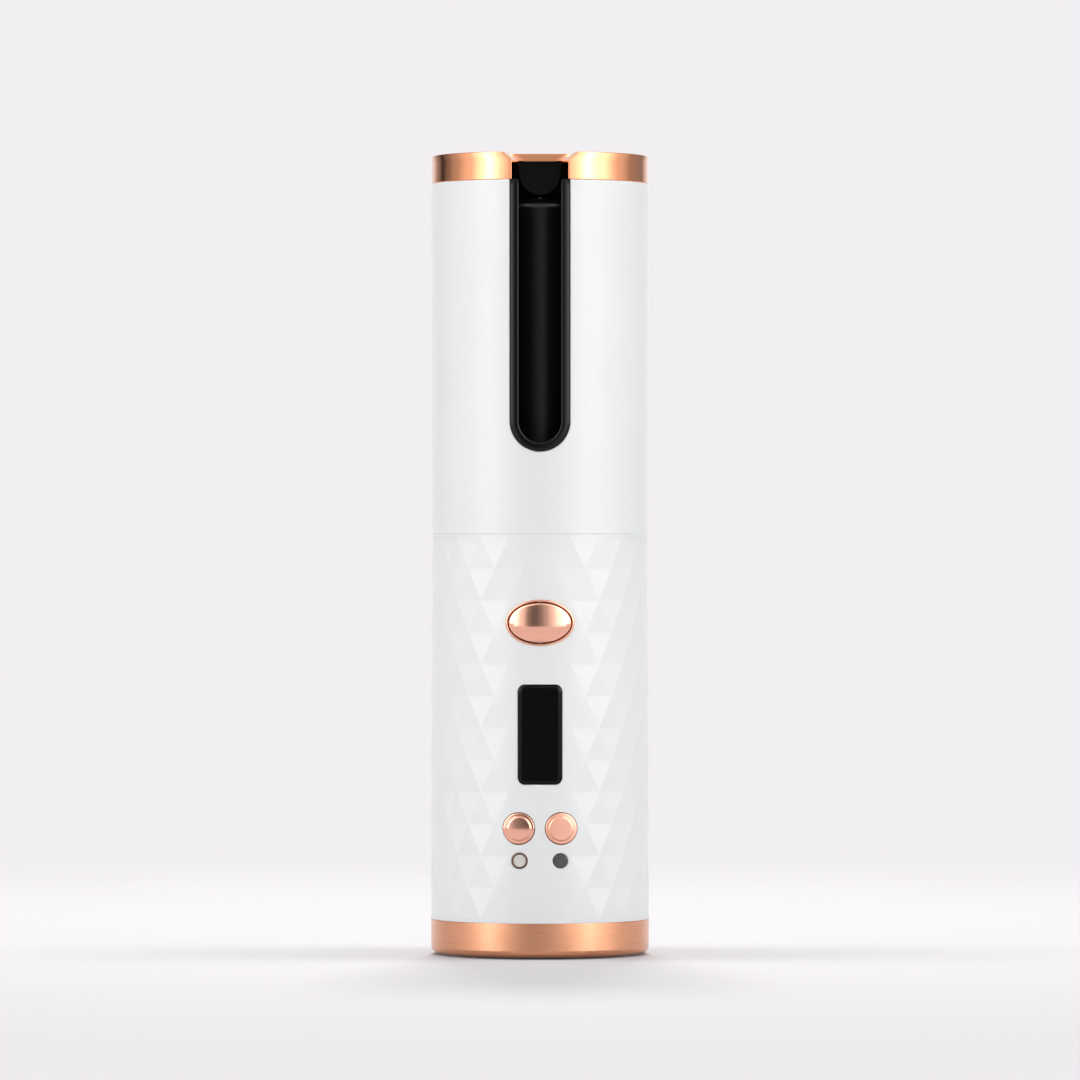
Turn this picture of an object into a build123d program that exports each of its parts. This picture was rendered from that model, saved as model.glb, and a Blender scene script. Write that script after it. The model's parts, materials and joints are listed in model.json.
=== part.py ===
from build123d import *

import os
from math import acos, cos, pi, radians, sin, sqrt, tan

# Automatic cordless hair curler, in millimetres. It stands upright on its foot ring with the axis along Z and
# the origin at the middle of the base. The hair slot and the buttons are on the front, which faces -Y, and +X
# is to the right.

# Overall sizes
body_height = 204.0  # from the surface it stands on to the top of the top ring
body_diameter = 56.0  # lower shell, just above the bottom ring
seam_height = 107.4  # where the upper shell meets the lower shell
top_ring_height = 7.1
bottom_ring_top = 9.1
floor_gap = 0.4  # from the surface it stands on to the bottom ring
lower_taper = 0.4  # how much the lower shell's radius shrinks up to the seam
upper_flare = 0.3  # how much the upper shell's radius grows up to the top ring
top_ring_inset = 0.2
bottom_ring_inset = 0.15
shell_wall = 2.2
seam_chamfer = 0.25

# Clearances
cut_margin = 1.0  # how far a cutting shape runs past what it cuts
fit_gap = 0.10  # between fixed pieces that slide together once
running_gap = 0.05  # radial, between a shaft and what it turns in
button_gap = 0.12  # radial, between a button and the hole it slides in
thrust_gap = 0.10  # along the axis, between a turning face and a fixed one

# Facets of the lower shell
facet_columns = 22
facet_rows = 12
facet_land = 0.8  # plain band above and below the facets

# Hair slot and chamber
slot_width = 15.4  # in the upper shell, across the lip
slot_sill = 20.8  # from the seam to the lowest point of the slot
lip_width = 2.4
lip_height = 0.35  # how far the lip stands out of the shell
liner_wall = 1.5
chamber_floor_drop = 3.2  # from the lowest point of the slot down to the chamber floor
chamber_floor_thickness = 2.0

# Heated barrel
barrel_diameter = 22.0
barrel_wall = 1.5
barrel_headroom = 4.3  # from the top of the barrel up to the underside of the top ring
barrel_top_thickness = 2.0
barrel_edge_radius = 2.5
heater_thickness = 2.0
heater_width = 10.0
heater_length = 50.0
heater_offset = 4.6  # from the axis to the near face of each heater plate
heater_foot = 3.0  # from the barrel's plug up to the heater plates
spreader_overrun = 2.0  # how far the heat spreaders reach above the heater plates
thermistor_length = 5.0
thermal_fuse_length = 10.0
spreader_split = 3.0  # gap between the two heat spreaders
shield_wall = 0.6
shield_play = 0.7  # radial, between the drive shaft and the heat shield
barrel_base_flange = 2.0  # how far the barrel base reaches out beyond the barrel
barrel_base_thickness = 2.0
barrel_plug_height = 4.0
barrel_spigot_radius = 8.0
barrel_spigot_depth = 1.4  # how far the barrel base's spigot reaches below the chamber floor
barrel_screw_bite_gap = 0.2  # left below the end of each barrel screw
lead_hole_x = -6.0
lead_hole_y = 2.0
lead_hole_play = 0.35
bush_wall = 2.0
bush_flange = 1.0
bush_flange_thickness = 0.4
shaft_bush_flange_thickness = 0.7

# Rotor
shaft_diameter = 4.0
shaft_flat_depth = 0.5
shaft_flat_length = 5.0
shaft_tail = 3.6  # from the deck's underside down to the end of the shaft
shaft_head_drop = 3.2  # from the trim disc's underside down to the top of the shaft
rotor_disc_diameter = 32.0
rotor_disc_thickness = 2.0
rotor_disc_cut_top = 14.5  # from the axis to the front cut, at the top face
rotor_disc_cut_bottom = 15.3
rotor_disc_edge_radius = 0.5
hub_height = 8.6
hub_rim = 0.4  # how far the trim disc reaches out beyond the hub
hub_foot_radius = 8.0
hub_neck_radius = 10.5
hub_neck_rise = 2.1  # from the hub's underside up to its neck
hub_cone_rise = 6.1  # from the hub's underside up to its full width
scoop_width = 10.5
scoop_depth = 8.0  # from the axis to the back of the scoop
scoop_sill = 0.5
finger_reach = 20.5
finger_width = 2.4
finger_height = 5.0
finger_drop = 1.5  # from the trim disc's underside down to the fingers
finger_edge_radius = 0.72
finger_angle = 40.0
hub_screw_head = 6.0
hub_screw_size = 2.5
hub_screw_length = 8.0
hub_screw_sink = 0.4  # how far its head stays below the trim disc

# Top ring
ring_mouth_inset = 2.3  # from the chamber's wall in to the mouth
ring_funnel_run = 2.7
ring_funnel_drop = 2.4
ring_spigot_depth = 2.4
ring_spigot_wall = 1.2
ring_lead_rise = 0.5  # from the ring's underside up to where its bore narrows
notch_width_outside = 14.5
notch_width_inside = 10.9
notch_chamfer_run = 2.3
notch_chamfer_drop = 2.0

# Bottom ring, base plate and foot
bottom_ring_wall = 1.2
bottom_ring_edge_radius = 1.8
bottom_flange_thickness = 1.4
bottom_flange_reach = 3.45
base_plate_thickness = 1.6
base_recess = 0.5  # from the bottom ring's underside up to the base plate
foot_width = 2.6
foot_inset = 1.0  # from the bottom flange in to the foot ring
foot_seat = 0.8  # how deep the foot ring is let into the base plate
foot_edge_radius = 0.4
leg_screw_bite = 6.0  # how far the base screws reach into the cradle's legs
leg_bore_room = 0.5

# Drive
deck_rise = 1.6  # from the seam up to the deck
deck_thickness = 2.5
spigot_depth = 6.0
spigot_wall = 1.4
snap_height = 0.3
snap_length = 1.0
deck_boss_radius = 3.2
deck_boss_overlap = 0.8  # how far each boss reaches into the spigot's wall
deck_boss_floor = 1.0
deck_screw_bite = 4.0
deck_collar_wall = 3.0
deck_collar_depth = 1.8
deck_slot_length = 8.0  # slot in the deck for the heater leads
deck_slot_leads = 3.0  # its width, in lead diameters
lead_drop_inset = 3.4  # from the spigot's bore in to the heater leads
gear_module = 0.6
gear_teeth = 40
pinion_teeth = 14
gear_addendum = 0.54
gear_dedendum = 0.75
gear_backlash = 0.10
gear_width = 4.0
gear_lift = 1.7  # from the deck up to the gear
pinion_width = 4.4
pressure_angle = radians(20)
gear_hub_radius = 4.0
gear_hub_height = 2.3
gear_pin_diameter = 1.5
motor_diameter = 15.0
gearbox_length = 12.0
motor_length = 14.0
gearbox_shaft_diameter = 3.0
gearbox_shaft_depth = 5.0
pinion_hub_radius = 3.0
pinion_foot_length = 0.8
pinion_head_length = 1.2
gearbox_pilot_radius = 3.1
gearbox_bore_room = 0.2
motor_step = 0.4  # how much slimmer the motor is than its gearbox
motor_edge_radius = 1.0
motor_screw_offset = 5.5
motor_screw_head = 3.6
motor_screw_head_height = 1.1
motor_screw_depth = 3.0
clip_thickness = 0.6
clip_radius = 3.6
clip_drop = 2.6  # from the deck's underside down to the retaining ring
clip_groove_share = 0.8  # groove's radius as a share of the shaft's
magnet_diameter = 3.0
magnet_length = 2.0
magnet_radius = 9.0  # from the axis to the magnet
sensor_board_thickness = 0.6
sensor_board_width = 8.0
sensor_board_front = 5.0  # from the magnet's circle forward to the board's edge
sensor_board_back = 1.8
sensor_width = 3.0
sensor_depth = 1.6
sensor_gap = 0.4  # from the sensor up to the gear

# Cells and cradle
cell_diameter = 18.5
cell_length = 65.2
cell_spacing = 19.2
cell_back = 5.0  # from the axis back to the cells
cell_play = 0.15
cell_edge_radius = 0.8
cradle_wall = 1.2
cradle_floor_height = 11.4
cradle_floor_thickness = 1.4
link_thickness = 0.2
link_width = 7.0
link_room = 0.2  # from the upper links up to the cradle's top
leg_circle = 17.5
leg_radius = 2.8
post_radius = 2.5
post_spread = 11.5
post_inset = 6.0  # from the board's and the cradle's ends to the posts
post_bore_depth = 6.0
cradle_rib_front = 7.0  # from the board's back to the ribs
cradle_window_width = 13.0
cradle_window_inset = 6.0  # from the posts to the windows in the cell tubes

# Boards and display
board_thickness = 1.6
board_width = 26.0
board_bottom = 18.0
board_top = 93.0
board_front = 18.4  # from the axis forward to the front of the main board
charge_board_width = 24.0
charge_board_depth = 16.0
charge_board_height = 8.6
charge_board_thickness = 1.2
charge_post_inset = 2.0
charge_post_radius = 1.7
charge_pin_radius = 0.9
charge_pin_rise = 0.6
socket_width = 8.94
socket_thickness = 3.26
socket_wall = 0.3
socket_recess = 0.3
socket_play = 0.2
socket_floor = 1.0
tongue_width = 6.6
tongue_thickness = 0.7
tongue_recess = 0.8
tongue_seat = 0.5
window_width = 11.3
window_height = 25.3
window_level = 56.8
window_corner = 1.8
window_bevel = 0.9
window_bevel_depth = 0.45
window_drop = 0.1  # how far the window lies below the shell
display_drop = 2.2  # from the shell's inside to the display
display_play = 0.4
display_holder_wall = 1.2
display_thickness = 1.8
panel_flange = 1.0  # how far a front piece's flange reaches round its hole
flange_thickness = 1.0

# Oval rocker button
rocker_width = 17.4  # across the bezel
rocker_height = 11.6
rocker_level = 85.0
bezel_wall = 0.5
bezel_proud = 0.3
bezel_flange = 1.5
bezel_flange_reach = 1.6
rocker_gap = 0.35  # between the bezel and the rocker, so that the rocker can tilt
rocker_proud = 1.2
rocker_dome_radius = 17.0
rocker_pin_depth = 3.4  # from the body's surface in to the pin
rocker_pin_diameter = 1.2
rocker_switch_spread = 5.5
rocker_back = 23.4
rocker_pad = 0.5
rocker_pad_radius = 1.5

# Round buttons, switches and indicator lights
button_diameter = 8.0
button_face_diameter = 6.1
button_spread = 5.35
button_level = 33.1
button_proud = 0.7
button_step = 0.45
button_stem_radius = 1.3
button_edge_radius = 0.3
button_flange = 0.8  # how far its flange reaches out behind the shell
button_stem_lap = 1.5  # how far the stem reaches into the button
switch_size = 5.0
switch_height = 3.4
switch_bore_depth = 1.2
plunger_overlap = 0.8
plunger_reach = 0.95
indicator_spread = 5.15
indicator_level = 25.0
indicator_ring_diameter = 4.1
indicator_lens_diameter = 2.6
indicator_dark_diameter = 3.9
indicator_proud = 0.1
lens_back = 20.0
indicator_ring_back = 1.2  # from the shell's inside forward to the back of the ring
led_height = 0.8
led_width = 1.6
led_depth = 1.2

# Screws
screw_shank = 1.8
screw_head = 4.0
screw_head_height = 1.5
small_head = 3.6  # head of the barrel screws and the board screws
board_screw_bite = 5.0
board_screw_head_height = 1.2
deck_screw_angles = (30, 150, 270)
leg_angles = (90, 210, 330)
lead_diameter = 1.2
heater_lead_bend = 1.8
heater_lead_drop = 2.6  # from the chamber floor's underside down to the leads' turn
heater_lead_ends = ((1, -11.0, 3.0), (-1, -8.0, 6.0))  # side, X, drop from the board's top
motor_lead_bend = 1.3
motor_lead_spread = 3.0
motor_lead_rise = 1.6
battery_lead_bend = 2.0
battery_lead_rise = 3.0

# Worked out from the sizes above
body_radius = body_diameter / 2
seam_radius = body_radius - lower_taper
upper_radius = seam_radius + upper_flare
top_ring_radius = upper_radius - top_ring_inset
bottom_ring_radius = body_radius - bottom_ring_inset
inner_radius = seam_radius - shell_wall
ring_base = body_height - top_ring_height
spigot_radius = inner_radius - fit_gap
spigot_bore = spigot_radius - spigot_wall
deck_bottom = seam_height + deck_rise
deck_top = deck_bottom + deck_thickness
slot_bottom = seam_height + slot_sill
liner_radius = inner_radius - fit_gap
liner_bore = liner_radius - liner_wall
floor_top = slot_bottom - chamber_floor_drop
floor_bottom = floor_top - chamber_floor_thickness
barrel_radius = barrel_diameter / 2
barrel_bore = barrel_radius - barrel_wall
barrel_bottom = floor_top + barrel_base_thickness
barrel_top = ring_base - barrel_headroom
shaft_radius = shaft_diameter / 2
shield_bore = shaft_radius + shield_play
shield_radius = shield_bore + shield_wall
bush_radius = shaft_radius + bush_wall
disc_bottom = body_height - rotor_disc_thickness
hub_bottom = disc_bottom - hub_height
gear_pitch_radius = gear_module * gear_teeth / 2
pinion_pitch_radius = gear_module * pinion_teeth / 2
motor_back = gear_pitch_radius + pinion_pitch_radius
gear_bottom = deck_top + gear_lift
gear_top = gear_bottom + gear_width
bottom_ring_bore = bottom_ring_radius - bottom_ring_wall
bottom_flange_radius = bottom_ring_radius - bottom_flange_reach
base_plate_bottom = floor_gap + base_recess
base_plate_seat = floor_gap + bottom_flange_thickness
base_plate_top = base_plate_seat + base_plate_thickness
foot_outer = bottom_flange_radius - foot_inset
foot_inner = foot_outer - foot_width
cell_radius = cell_diameter / 2
cell_x = cell_spacing / 2
cell_bottom = cradle_floor_height + cradle_floor_thickness + link_thickness
cell_top = cell_bottom + cell_length
cradle_radius = inner_radius - fit_gap
board_face = -board_front
board_back = board_face + board_thickness
switch_face = board_face - switch_height
button_radius = button_diameter / 2
scoop_radius = scoop_width / 2
deck_screw_circle = spigot_bore - deck_boss_radius + deck_boss_overlap
ring_mouth_radius = liner_bore - ring_mouth_inset
barrel_screw_offset = barrel_radius
heater_bottom = barrel_bottom + barrel_plug_height + heater_foot
heater_top = heater_bottom + heater_length
spreader_bottom = barrel_bottom + barrel_plug_height
spreader_top = heater_top + spreader_overrun
sensor_middle = (barrel_bore + shield_radius) / 2
shaft_bottom = deck_bottom - shaft_tail
shaft_top = disc_bottom - shaft_head_drop
clip_bottom = deck_bottom - clip_drop
clip_top = clip_bottom + clip_thickness
clip_groove_radius = shaft_radius * clip_groove_share
bush_top = deck_top + shaft_bush_flange_thickness
bush_bottom = deck_bottom - deck_collar_depth
pinion_bottom = gear_bottom - (pinion_width - gear_width) / 2
pinion_foot = pinion_bottom - pinion_foot_length
pinion_top = pinion_bottom + pinion_width + pinion_head_length
lead_drop_x = lead_drop_inset - spigot_bore
cradle_floor_top = cradle_floor_height + cradle_floor_thickness
cradle_top = cell_top + link_thickness + link_room
cell_tube_bore = cell_radius + cell_play
cell_tube_radius = cell_tube_bore + cradle_wall
post_levels = (board_bottom + post_inset, cradle_top - post_inset)
charge_post_x = charge_board_width / 2 - charge_post_inset
charge_post_y = charge_board_depth / 2 - charge_post_inset
display_face = display_drop - inner_radius
display_back = display_face + display_thickness
rocker_rim = -bezel_wall - rocker_gap
rocker_pivot = body_radius - rocker_pin_depth
plunger_tip = switch_face - plunger_reach
flange_front = inner_radius - fit_gap
facet_bottom = bottom_ring_top + facet_land
facet_top = seam_height - facet_land
facet_height = (facet_top - facet_bottom) / facet_rows


def disc(radius, bottom, top, x=0.0, y=0.0):
    """Upright cylinder between two heights."""
    return Pos(x, y, (bottom + top) / 2) * Cylinder(radius, top - bottom)


def tube(outer, inner, bottom, top, x=0.0, y=0.0):
    """Upright tube between two heights."""
    return disc(outer, bottom, top, x, y) - disc(inner, bottom, top, x, y)


def cone(radius_bottom, radius_top, bottom, top):
    """Upright frustum on the axis."""
    return Pos(0, 0, (bottom + top) / 2) * Cone(radius_bottom, radius_top, top - bottom)


def block(x0, x1, y0, y1, z0, z1):
    """Box between two corners."""
    return Pos((x0 + x1) / 2, (y0 + y1) / 2, (z0 + z1) / 2) * Box(x1 - x0, y1 - y0, z1 - z0)


def front_prism(sketch, front, back):
    """Sketch drawn in X and Z, carried along Y from front to back."""
    plane = Plane(origin=(0, back, 0), x_dir=(1, 0, 0), z_dir=(0, -1, 0))
    return extrude(plane * sketch, back - front)


def front_rod(radius, front, back, x, z):
    """Cylinder along Y."""
    return front_prism(Pos(x, z) * Circle(radius), front, back)


def turned(points):
    """Solid turned about the axis from an outline of radius and height."""
    outline = Polyline(*[(radius, 0, height) for radius, height in points], close=True)
    return revolve(make_face(outline), Axis.Z)


def inner_flange(sketch, thickness=flange_thickness):
    """Flange that lies against the inside of the lower shell, round a piece of the front panel."""
    curved = tube(flange_front, flange_front - thickness, 0, body_height)
    return front_prism(sketch, -body_radius, 0) & curved


def around(angle, radius):
    """Point at an angle from +X and a distance from the axis."""
    return radius * cos(radians(angle)), radius * sin(radians(angle))


def screw(head_radius, length, shank_radius=screw_shank / 2, head_height=screw_head_height):
    """Pan-head screw along -Z, with the underside of its head at the origin."""
    head = disc(head_radius, 0, head_height)
    cross_width = head_radius * 0.3
    cross_span = head_radius * 1.1
    slot = Pos(0, 0, head_height) * Box(cross_span, cross_width, head_height)
    cross = slot + Rot(0, 0, 90) * slot
    return head + disc(shank_radius, -length, 0) - cross


def shell_radius(height):
    """Outer radius of the lower shell at a height."""
    share = (height - bottom_ring_top) / (seam_height - bottom_ring_top)
    return body_radius - lower_taper * share


def facet_corner(row, column):
    """Corner of the facets: row counted down from the top, column in half pitches from the front."""
    height = facet_top - row * facet_height
    angle = column * pi / facet_columns
    radius = shell_radius(height)
    return Vector(radius * sin(angle), -radius * cos(angle), height)


def faceted_core():
    """Closed solid whose side is the lattice of flat triangles."""
    triangles = []
    for row in range(facet_rows):
        for step in range(facet_columns):
            column = 2 * step + row % 2
            here = facet_corner(row, column)
            beside = facet_corner(row, column + 2)
            below = facet_corner(row + 1, column + 1)
            below_beside = facet_corner(row + 1, column + 3)
            triangles.append((here, beside, below))
            triangles.append((below, below_beside, beside))
    ends = [[facet_corner(row, 2 * step + row % 2) for step in range(facet_columns)] for row in (0, facet_rows)]
    faces = [Face(Wire.make_polygon(corners, close=True)) for corners in triangles + ends]
    return Solid(Shell(faces))


def panel_half_columns(row):
    """How many half pitches the smooth front panel reaches to each side at a row."""
    if row % 2 == 0:
        return 2
    return 1 if row == 1 else 3


def smooth_panel():
    """Front part of the lower shell without facets, with a zigzag edge along the facets' corners."""
    right = [facet_corner(row, panel_half_columns(row)) for row in range(facet_rows + 1)]
    side = [(corner.X, corner.Z) for corner in right]
    outline = side + [(-x, z) for x, z in reversed(side)]
    prism = front_prism(make_face(Polyline(*outline, close=True)), -body_radius - cut_margin, -body_radius / 2)
    return prism & cone(shell_radius(facet_bottom), shell_radius(facet_top), facet_bottom, facet_top)


def window_outline(grow=0.0):
    return Pos(0, window_level) * RectangleRounded(
        window_width + 2 * grow, window_height + 2 * grow, window_corner + grow
    )


def rocker_outline(grow=0.0):
    """Oval, measured from the outside of the bezel."""
    return Pos(0, rocker_level) * Ellipse(rocker_width / 2 + grow, rocker_height / 2 + grow)


def slot_outline(half_width, lowest, top):
    """U shape, round at its lower end and open at the top."""
    centre = lowest + half_width
    straight = Pos(0, (centre + top) / 2) * Rectangle(2 * half_width, top - centre)
    return Pos(0, centre) * Circle(half_width) + straight


def lower_shell():
    body = faceted_core() + smooth_panel()
    body += cone(body_radius, shell_radius(facet_bottom), bottom_ring_top, facet_bottom)
    body += cone(shell_radius(facet_top), seam_radius, facet_top, seam_height)
    body += disc(bottom_ring_bore - fit_gap, base_plate_top, bottom_ring_top)
    body -= disc(inner_radius, base_plate_top, seam_height)
    snap_middle = seam_height - spigot_depth / 2
    snap_room = snap_length / 2 + fit_gap
    body -= disc(inner_radius + snap_height, snap_middle - snap_room, snap_middle + snap_room)
    groove = cone(seam_radius, seam_radius - seam_chamfer, seam_height - seam_chamfer, seam_height)
    body -= disc(body_radius, seam_height - seam_chamfer, seam_height) - groove
    cutter = -body_radius - cut_margin
    body -= front_prism(window_outline(), cutter, 0)
    body -= front_prism(rocker_outline(), cutter, 0)
    for side in (-1, 1):
        body -= front_rod(button_radius + button_gap, cutter, 0, side * button_spread, button_level)
    body -= front_rod(indicator_ring_diameter / 2, cutter, 0, -indicator_spread, indicator_level)
    body -= front_rod(indicator_dark_diameter / 2, cutter, 0, indicator_spread, indicator_level)
    return body


def upper_shell():
    body = cone(seam_radius, upper_radius, seam_height, ring_base)
    body -= disc(inner_radius, deck_bottom, ring_base)
    body -= disc(spigot_bore, seam_height, deck_bottom)
    spigot_bottom = seam_height - spigot_depth
    body += tube(spigot_radius, spigot_bore, spigot_bottom, seam_height)
    snap_middle = seam_height - spigot_depth / 2
    snap_radius = inner_radius + snap_height - fit_gap
    body += tube(snap_radius, spigot_bore, snap_middle - snap_length / 2, snap_middle + snap_length / 2)
    for angle in deck_screw_angles:
        x, y = around(angle, deck_screw_circle)
        boss = disc(deck_boss_radius, spigot_bottom, deck_bottom, x, y)
        body += boss & disc(spigot_radius, spigot_bottom, deck_bottom)
        body -= disc(screw_shank / 2, spigot_bottom + deck_boss_floor, deck_bottom, x, y)
    slope = cone(seam_radius - seam_chamfer, seam_radius, seam_height, seam_height + seam_chamfer)
    groove = disc(body_radius, seam_height, seam_height + seam_chamfer) - slope
    body -= groove - disc(spigot_radius, seam_height, ring_base)
    slot = slot_outline(slot_width / 2, slot_bottom, ring_base + cut_margin)
    body -= front_prism(slot, -body_radius - cut_margin, -body_radius / 2)
    return body


def chamber_liner():
    body = tube(liner_radius, liner_bore, deck_top, ring_base)
    body += disc(liner_radius, floor_bottom, floor_top)
    outside = slot_outline(slot_width / 2, slot_bottom, ring_base)
    inside = slot_outline(slot_width / 2 - lip_width, slot_bottom + lip_width, ring_base + cut_margin)
    lip = front_prism(outside, -body_radius - cut_margin, -liner_bore * 0.94)
    lip &= cone(seam_radius + lip_height, upper_radius + lip_height, seam_height, ring_base)
    body += lip - disc(liner_bore, seam_height, ring_base)
    body -= front_prism(inside, -body_radius - cut_margin, -body_radius / 2)
    body -= disc(barrel_spigot_radius + fit_gap, floor_bottom, floor_top)
    for side in (-1, 1):
        body -= disc(screw_shank / 2 + fit_gap, floor_bottom, floor_top, side * barrel_screw_offset)
    return body


def barrel():
    body = disc(barrel_radius, barrel_bottom, barrel_top)
    rim = body.edges().group_by(Axis.Z)[-1]
    body = fillet(rim, min(barrel_edge_radius, barrel_top_thickness + barrel_wall / 2))
    body -= disc(barrel_bore, barrel_bottom, barrel_top - barrel_top_thickness)
    body -= disc(bush_radius, barrel_bottom, barrel_top)
    return body


def barrel_base():
    body = disc(barrel_radius + barrel_base_flange, floor_top, barrel_bottom)
    body += disc(barrel_bore, barrel_bottom, barrel_bottom + barrel_plug_height)
    body += disc(barrel_spigot_radius, floor_bottom - barrel_spigot_depth, floor_top)
    body -= disc(shield_radius, floor_bottom - barrel_spigot_depth, barrel_bottom + barrel_plug_height)
    for side in (-1, 1):
        hole = lead_diameter / 2 + lead_hole_play
        body -= disc(hole, floor_bottom - barrel_spigot_depth, spreader_bottom, lead_hole_x, side * lead_hole_y)
        body -= disc(screw_shank / 2, floor_top, barrel_bottom, side * barrel_screw_offset)
    return body


def barrel_screws():
    length = chamber_floor_thickness + barrel_base_thickness - barrel_screw_bite_gap
    one = Rot(180, 0, 0) * screw(small_head / 2, length)
    return [Pos(side * barrel_screw_offset, 0, floor_bottom) * one for side in (-1, 1)]


def barrel_bush():
    bottom = barrel_top - barrel_top_thickness
    body = disc(bush_radius, bottom, barrel_top)
    body += disc(bush_radius + bush_flange, barrel_top, barrel_top + bush_flange_thickness)
    return body - disc(shaft_radius + running_gap, bottom, barrel_top + bush_flange_thickness)


def heat_shield():
    return tube(shield_radius, shield_bore, floor_bottom, barrel_top - barrel_top_thickness)


def heater_plate(side):
    near = heater_offset
    far = heater_offset + heater_thickness
    low, high = sorted((side * near, side * far))
    return block(low, high, -heater_width / 2, heater_width / 2, heater_bottom, heater_top)


def heat_spreader(side):
    body = tube(barrel_bore, shield_radius, spreader_bottom, spreader_top)
    low, high = sorted((side * spreader_split / 2, side * barrel_radius))
    body &= block(low, high, -barrel_radius, barrel_radius, spreader_bottom, spreader_top)
    return body - heater_plate(side)


def thermistor():
    middle = (heater_bottom + heater_top) / 2
    reach = thermistor_length / 2
    return disc(spreader_split / 2, middle - reach, middle + reach, 0, sensor_middle)


def thermal_fuse():
    return disc(spreader_split / 2, heater_bottom, heater_bottom + thermal_fuse_length, 0, -sensor_middle)


def top_ring():
    funnel_top = ring_mouth_radius + ring_funnel_run
    funnel_bottom = body_height - ring_funnel_drop
    spigot = liner_bore - fit_gap
    spigot_inside = spigot - ring_spigot_wall
    mouth_step = spigot_inside - ring_mouth_radius
    outline = [
        (spigot_inside, ring_base - ring_spigot_depth),
        (spigot, ring_base - ring_spigot_depth),
        (spigot, ring_base),
        (top_ring_radius, ring_base),
        (top_ring_radius, body_height),
        (funnel_top, body_height),
        (ring_mouth_radius, funnel_bottom),
        (ring_mouth_radius, ring_base + mouth_step + ring_lead_rise),
        (spigot_inside, ring_base + ring_lead_rise),
    ]
    body = turned(outline)
    widening = (notch_width_outside - notch_width_inside) / 2 / (top_ring_radius - ring_mouth_radius)
    overrun = 4.0  # of the cutting shape, in front of the ring and behind it
    front = top_ring_radius + overrun
    back = ring_mouth_radius - overrun
    wide = notch_width_outside / 2 + overrun * widening
    narrow = notch_width_inside / 2 - overrun * widening
    plan = Polyline((-wide, -front), (wide, -front), (narrow, -back), (-narrow, -back), close=True)
    bottom = ring_base - ring_spigot_depth - cut_margin
    body -= Pos(0, 0, bottom) * extrude(make_face(plan), body_height - bottom + cut_margin)
    corners = body.edges().filter_by(GeomType.LINE).group_by(Axis.Z)[-1]
    front_corners = [edge for edge in corners if edge.center().Y < 0]
    top_face = body.faces().sort_by(Axis.Z)[-1]
    return chamfer(front_corners, notch_chamfer_drop, notch_chamfer_run, reference=top_face)


def rotor_hub():
    rim = rotor_disc_diameter / 2 - hub_rim
    outline = [
        (0, hub_bottom),
        (hub_foot_radius, hub_bottom),
        (hub_neck_radius, hub_bottom + hub_neck_rise),
        (rim, hub_bottom + hub_cone_rise),
        (rim, disc_bottom),
        (0, disc_bottom),
    ]
    body = turned(outline)
    finger_top = disc_bottom - finger_drop
    half = finger_width / 2
    finger = block(-half, half, -finger_reach, -hub_neck_radius, finger_top - finger_height, finger_top)
    finger = fillet(finger.edges().group_by(Axis.Y)[0], finger_edge_radius)
    for side in (-1, 1):
        body += Rot(0, 0, side * finger_angle) * finger
    scoop = slot_outline(scoop_radius, hub_bottom + scoop_sill, disc_bottom + cut_margin)
    body -= front_prism(scoop, -finger_reach - cut_margin, -scoop_depth)
    body -= disc(hub_screw_head / 2 + fit_gap, shaft_top, disc_bottom)
    return body - shaft_body(shaft_radius, hub_bottom - cut_margin)


def shaft_body(radius, bottom):
    """Shaft with a flat at its upper end."""
    body = disc(radius, bottom, shaft_top)
    flat_bottom = shaft_top - shaft_flat_length
    return body - block(-radius, radius, radius - shaft_flat_depth, radius, flat_bottom, shaft_top)


def drive_shaft():
    body = shaft_body(shaft_radius, shaft_bottom)
    body -= tube(shaft_radius, clip_groove_radius, clip_bottom, clip_top)
    body -= disc(hub_screw_size / 2, shaft_top - hub_screw_length, shaft_top)
    return body - gear_pin()


def retaining_ring():
    body = tube(clip_radius, clip_groove_radius, clip_bottom, clip_top)
    return body - block(-clip_groove_radius, clip_groove_radius, 0, clip_radius, clip_bottom, clip_top)


def gear_pin():
    length = 2 * gear_hub_radius
    height = gear_top + gear_hub_height / 2
    return Pos(0, 0, height) * Rot(0, 90, 0) * Cylinder(gear_pin_diameter / 2, length)


def rotor_screw():
    head_height = disc_bottom - shaft_top - hub_screw_sink
    return Pos(0, 0, shaft_top) * screw(hub_screw_head / 2, hub_screw_length, hub_screw_size / 2, head_height)


def rotor_disc():
    radius = rotor_disc_diameter / 2
    body = disc(radius, disc_bottom, body_height)
    top = body.edges().group_by(Axis.Z)[-1]
    body = fillet(top, rotor_disc_edge_radius)
    section = Polyline(
        (-rotor_disc_cut_top, body_height),
        (-rotor_disc_cut_bottom, disc_bottom),
        (-radius - cut_margin, disc_bottom),
        (-radius - cut_margin, body_height),
        close=True,
    )
    cutter = extrude(Plane.YZ * make_face(section), radius, both=True)
    return body - cutter


def involute(angle):
    return tan(angle) - angle


def gear_outline(teeth, tooth_angle):
    """Involute gear outline with a tooth centred on tooth_angle, in radians."""
    pitch = gear_module * teeth / 2
    base = pitch * cos(pressure_angle)
    tip = pitch + gear_addendum
    root = pitch - gear_dedendum
    half_tooth = pi / (2 * teeth) - gear_backlash / (2 * pitch) + involute(pressure_angle)
    lowest = max(base, root)
    steps = 4
    flank = []
    for step in range(steps + 1):
        radius = lowest + (tip - lowest) * step / steps
        flank.append((radius, half_tooth - involute(acos(min(1.0, base / radius)))))
    if root < base:
        flank.insert(0, (root, half_tooth))
    points = []
    for tooth in range(teeth):
        middle = tooth_angle + tooth * 2 * pi / teeth
        for radius, offset in flank:
            points.append((radius * cos(middle - offset), radius * sin(middle - offset)))
        for radius, offset in reversed(flank):
            points.append((radius * cos(middle + offset), radius * sin(middle + offset)))
    return make_face(Polyline(*points, close=True))


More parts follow.
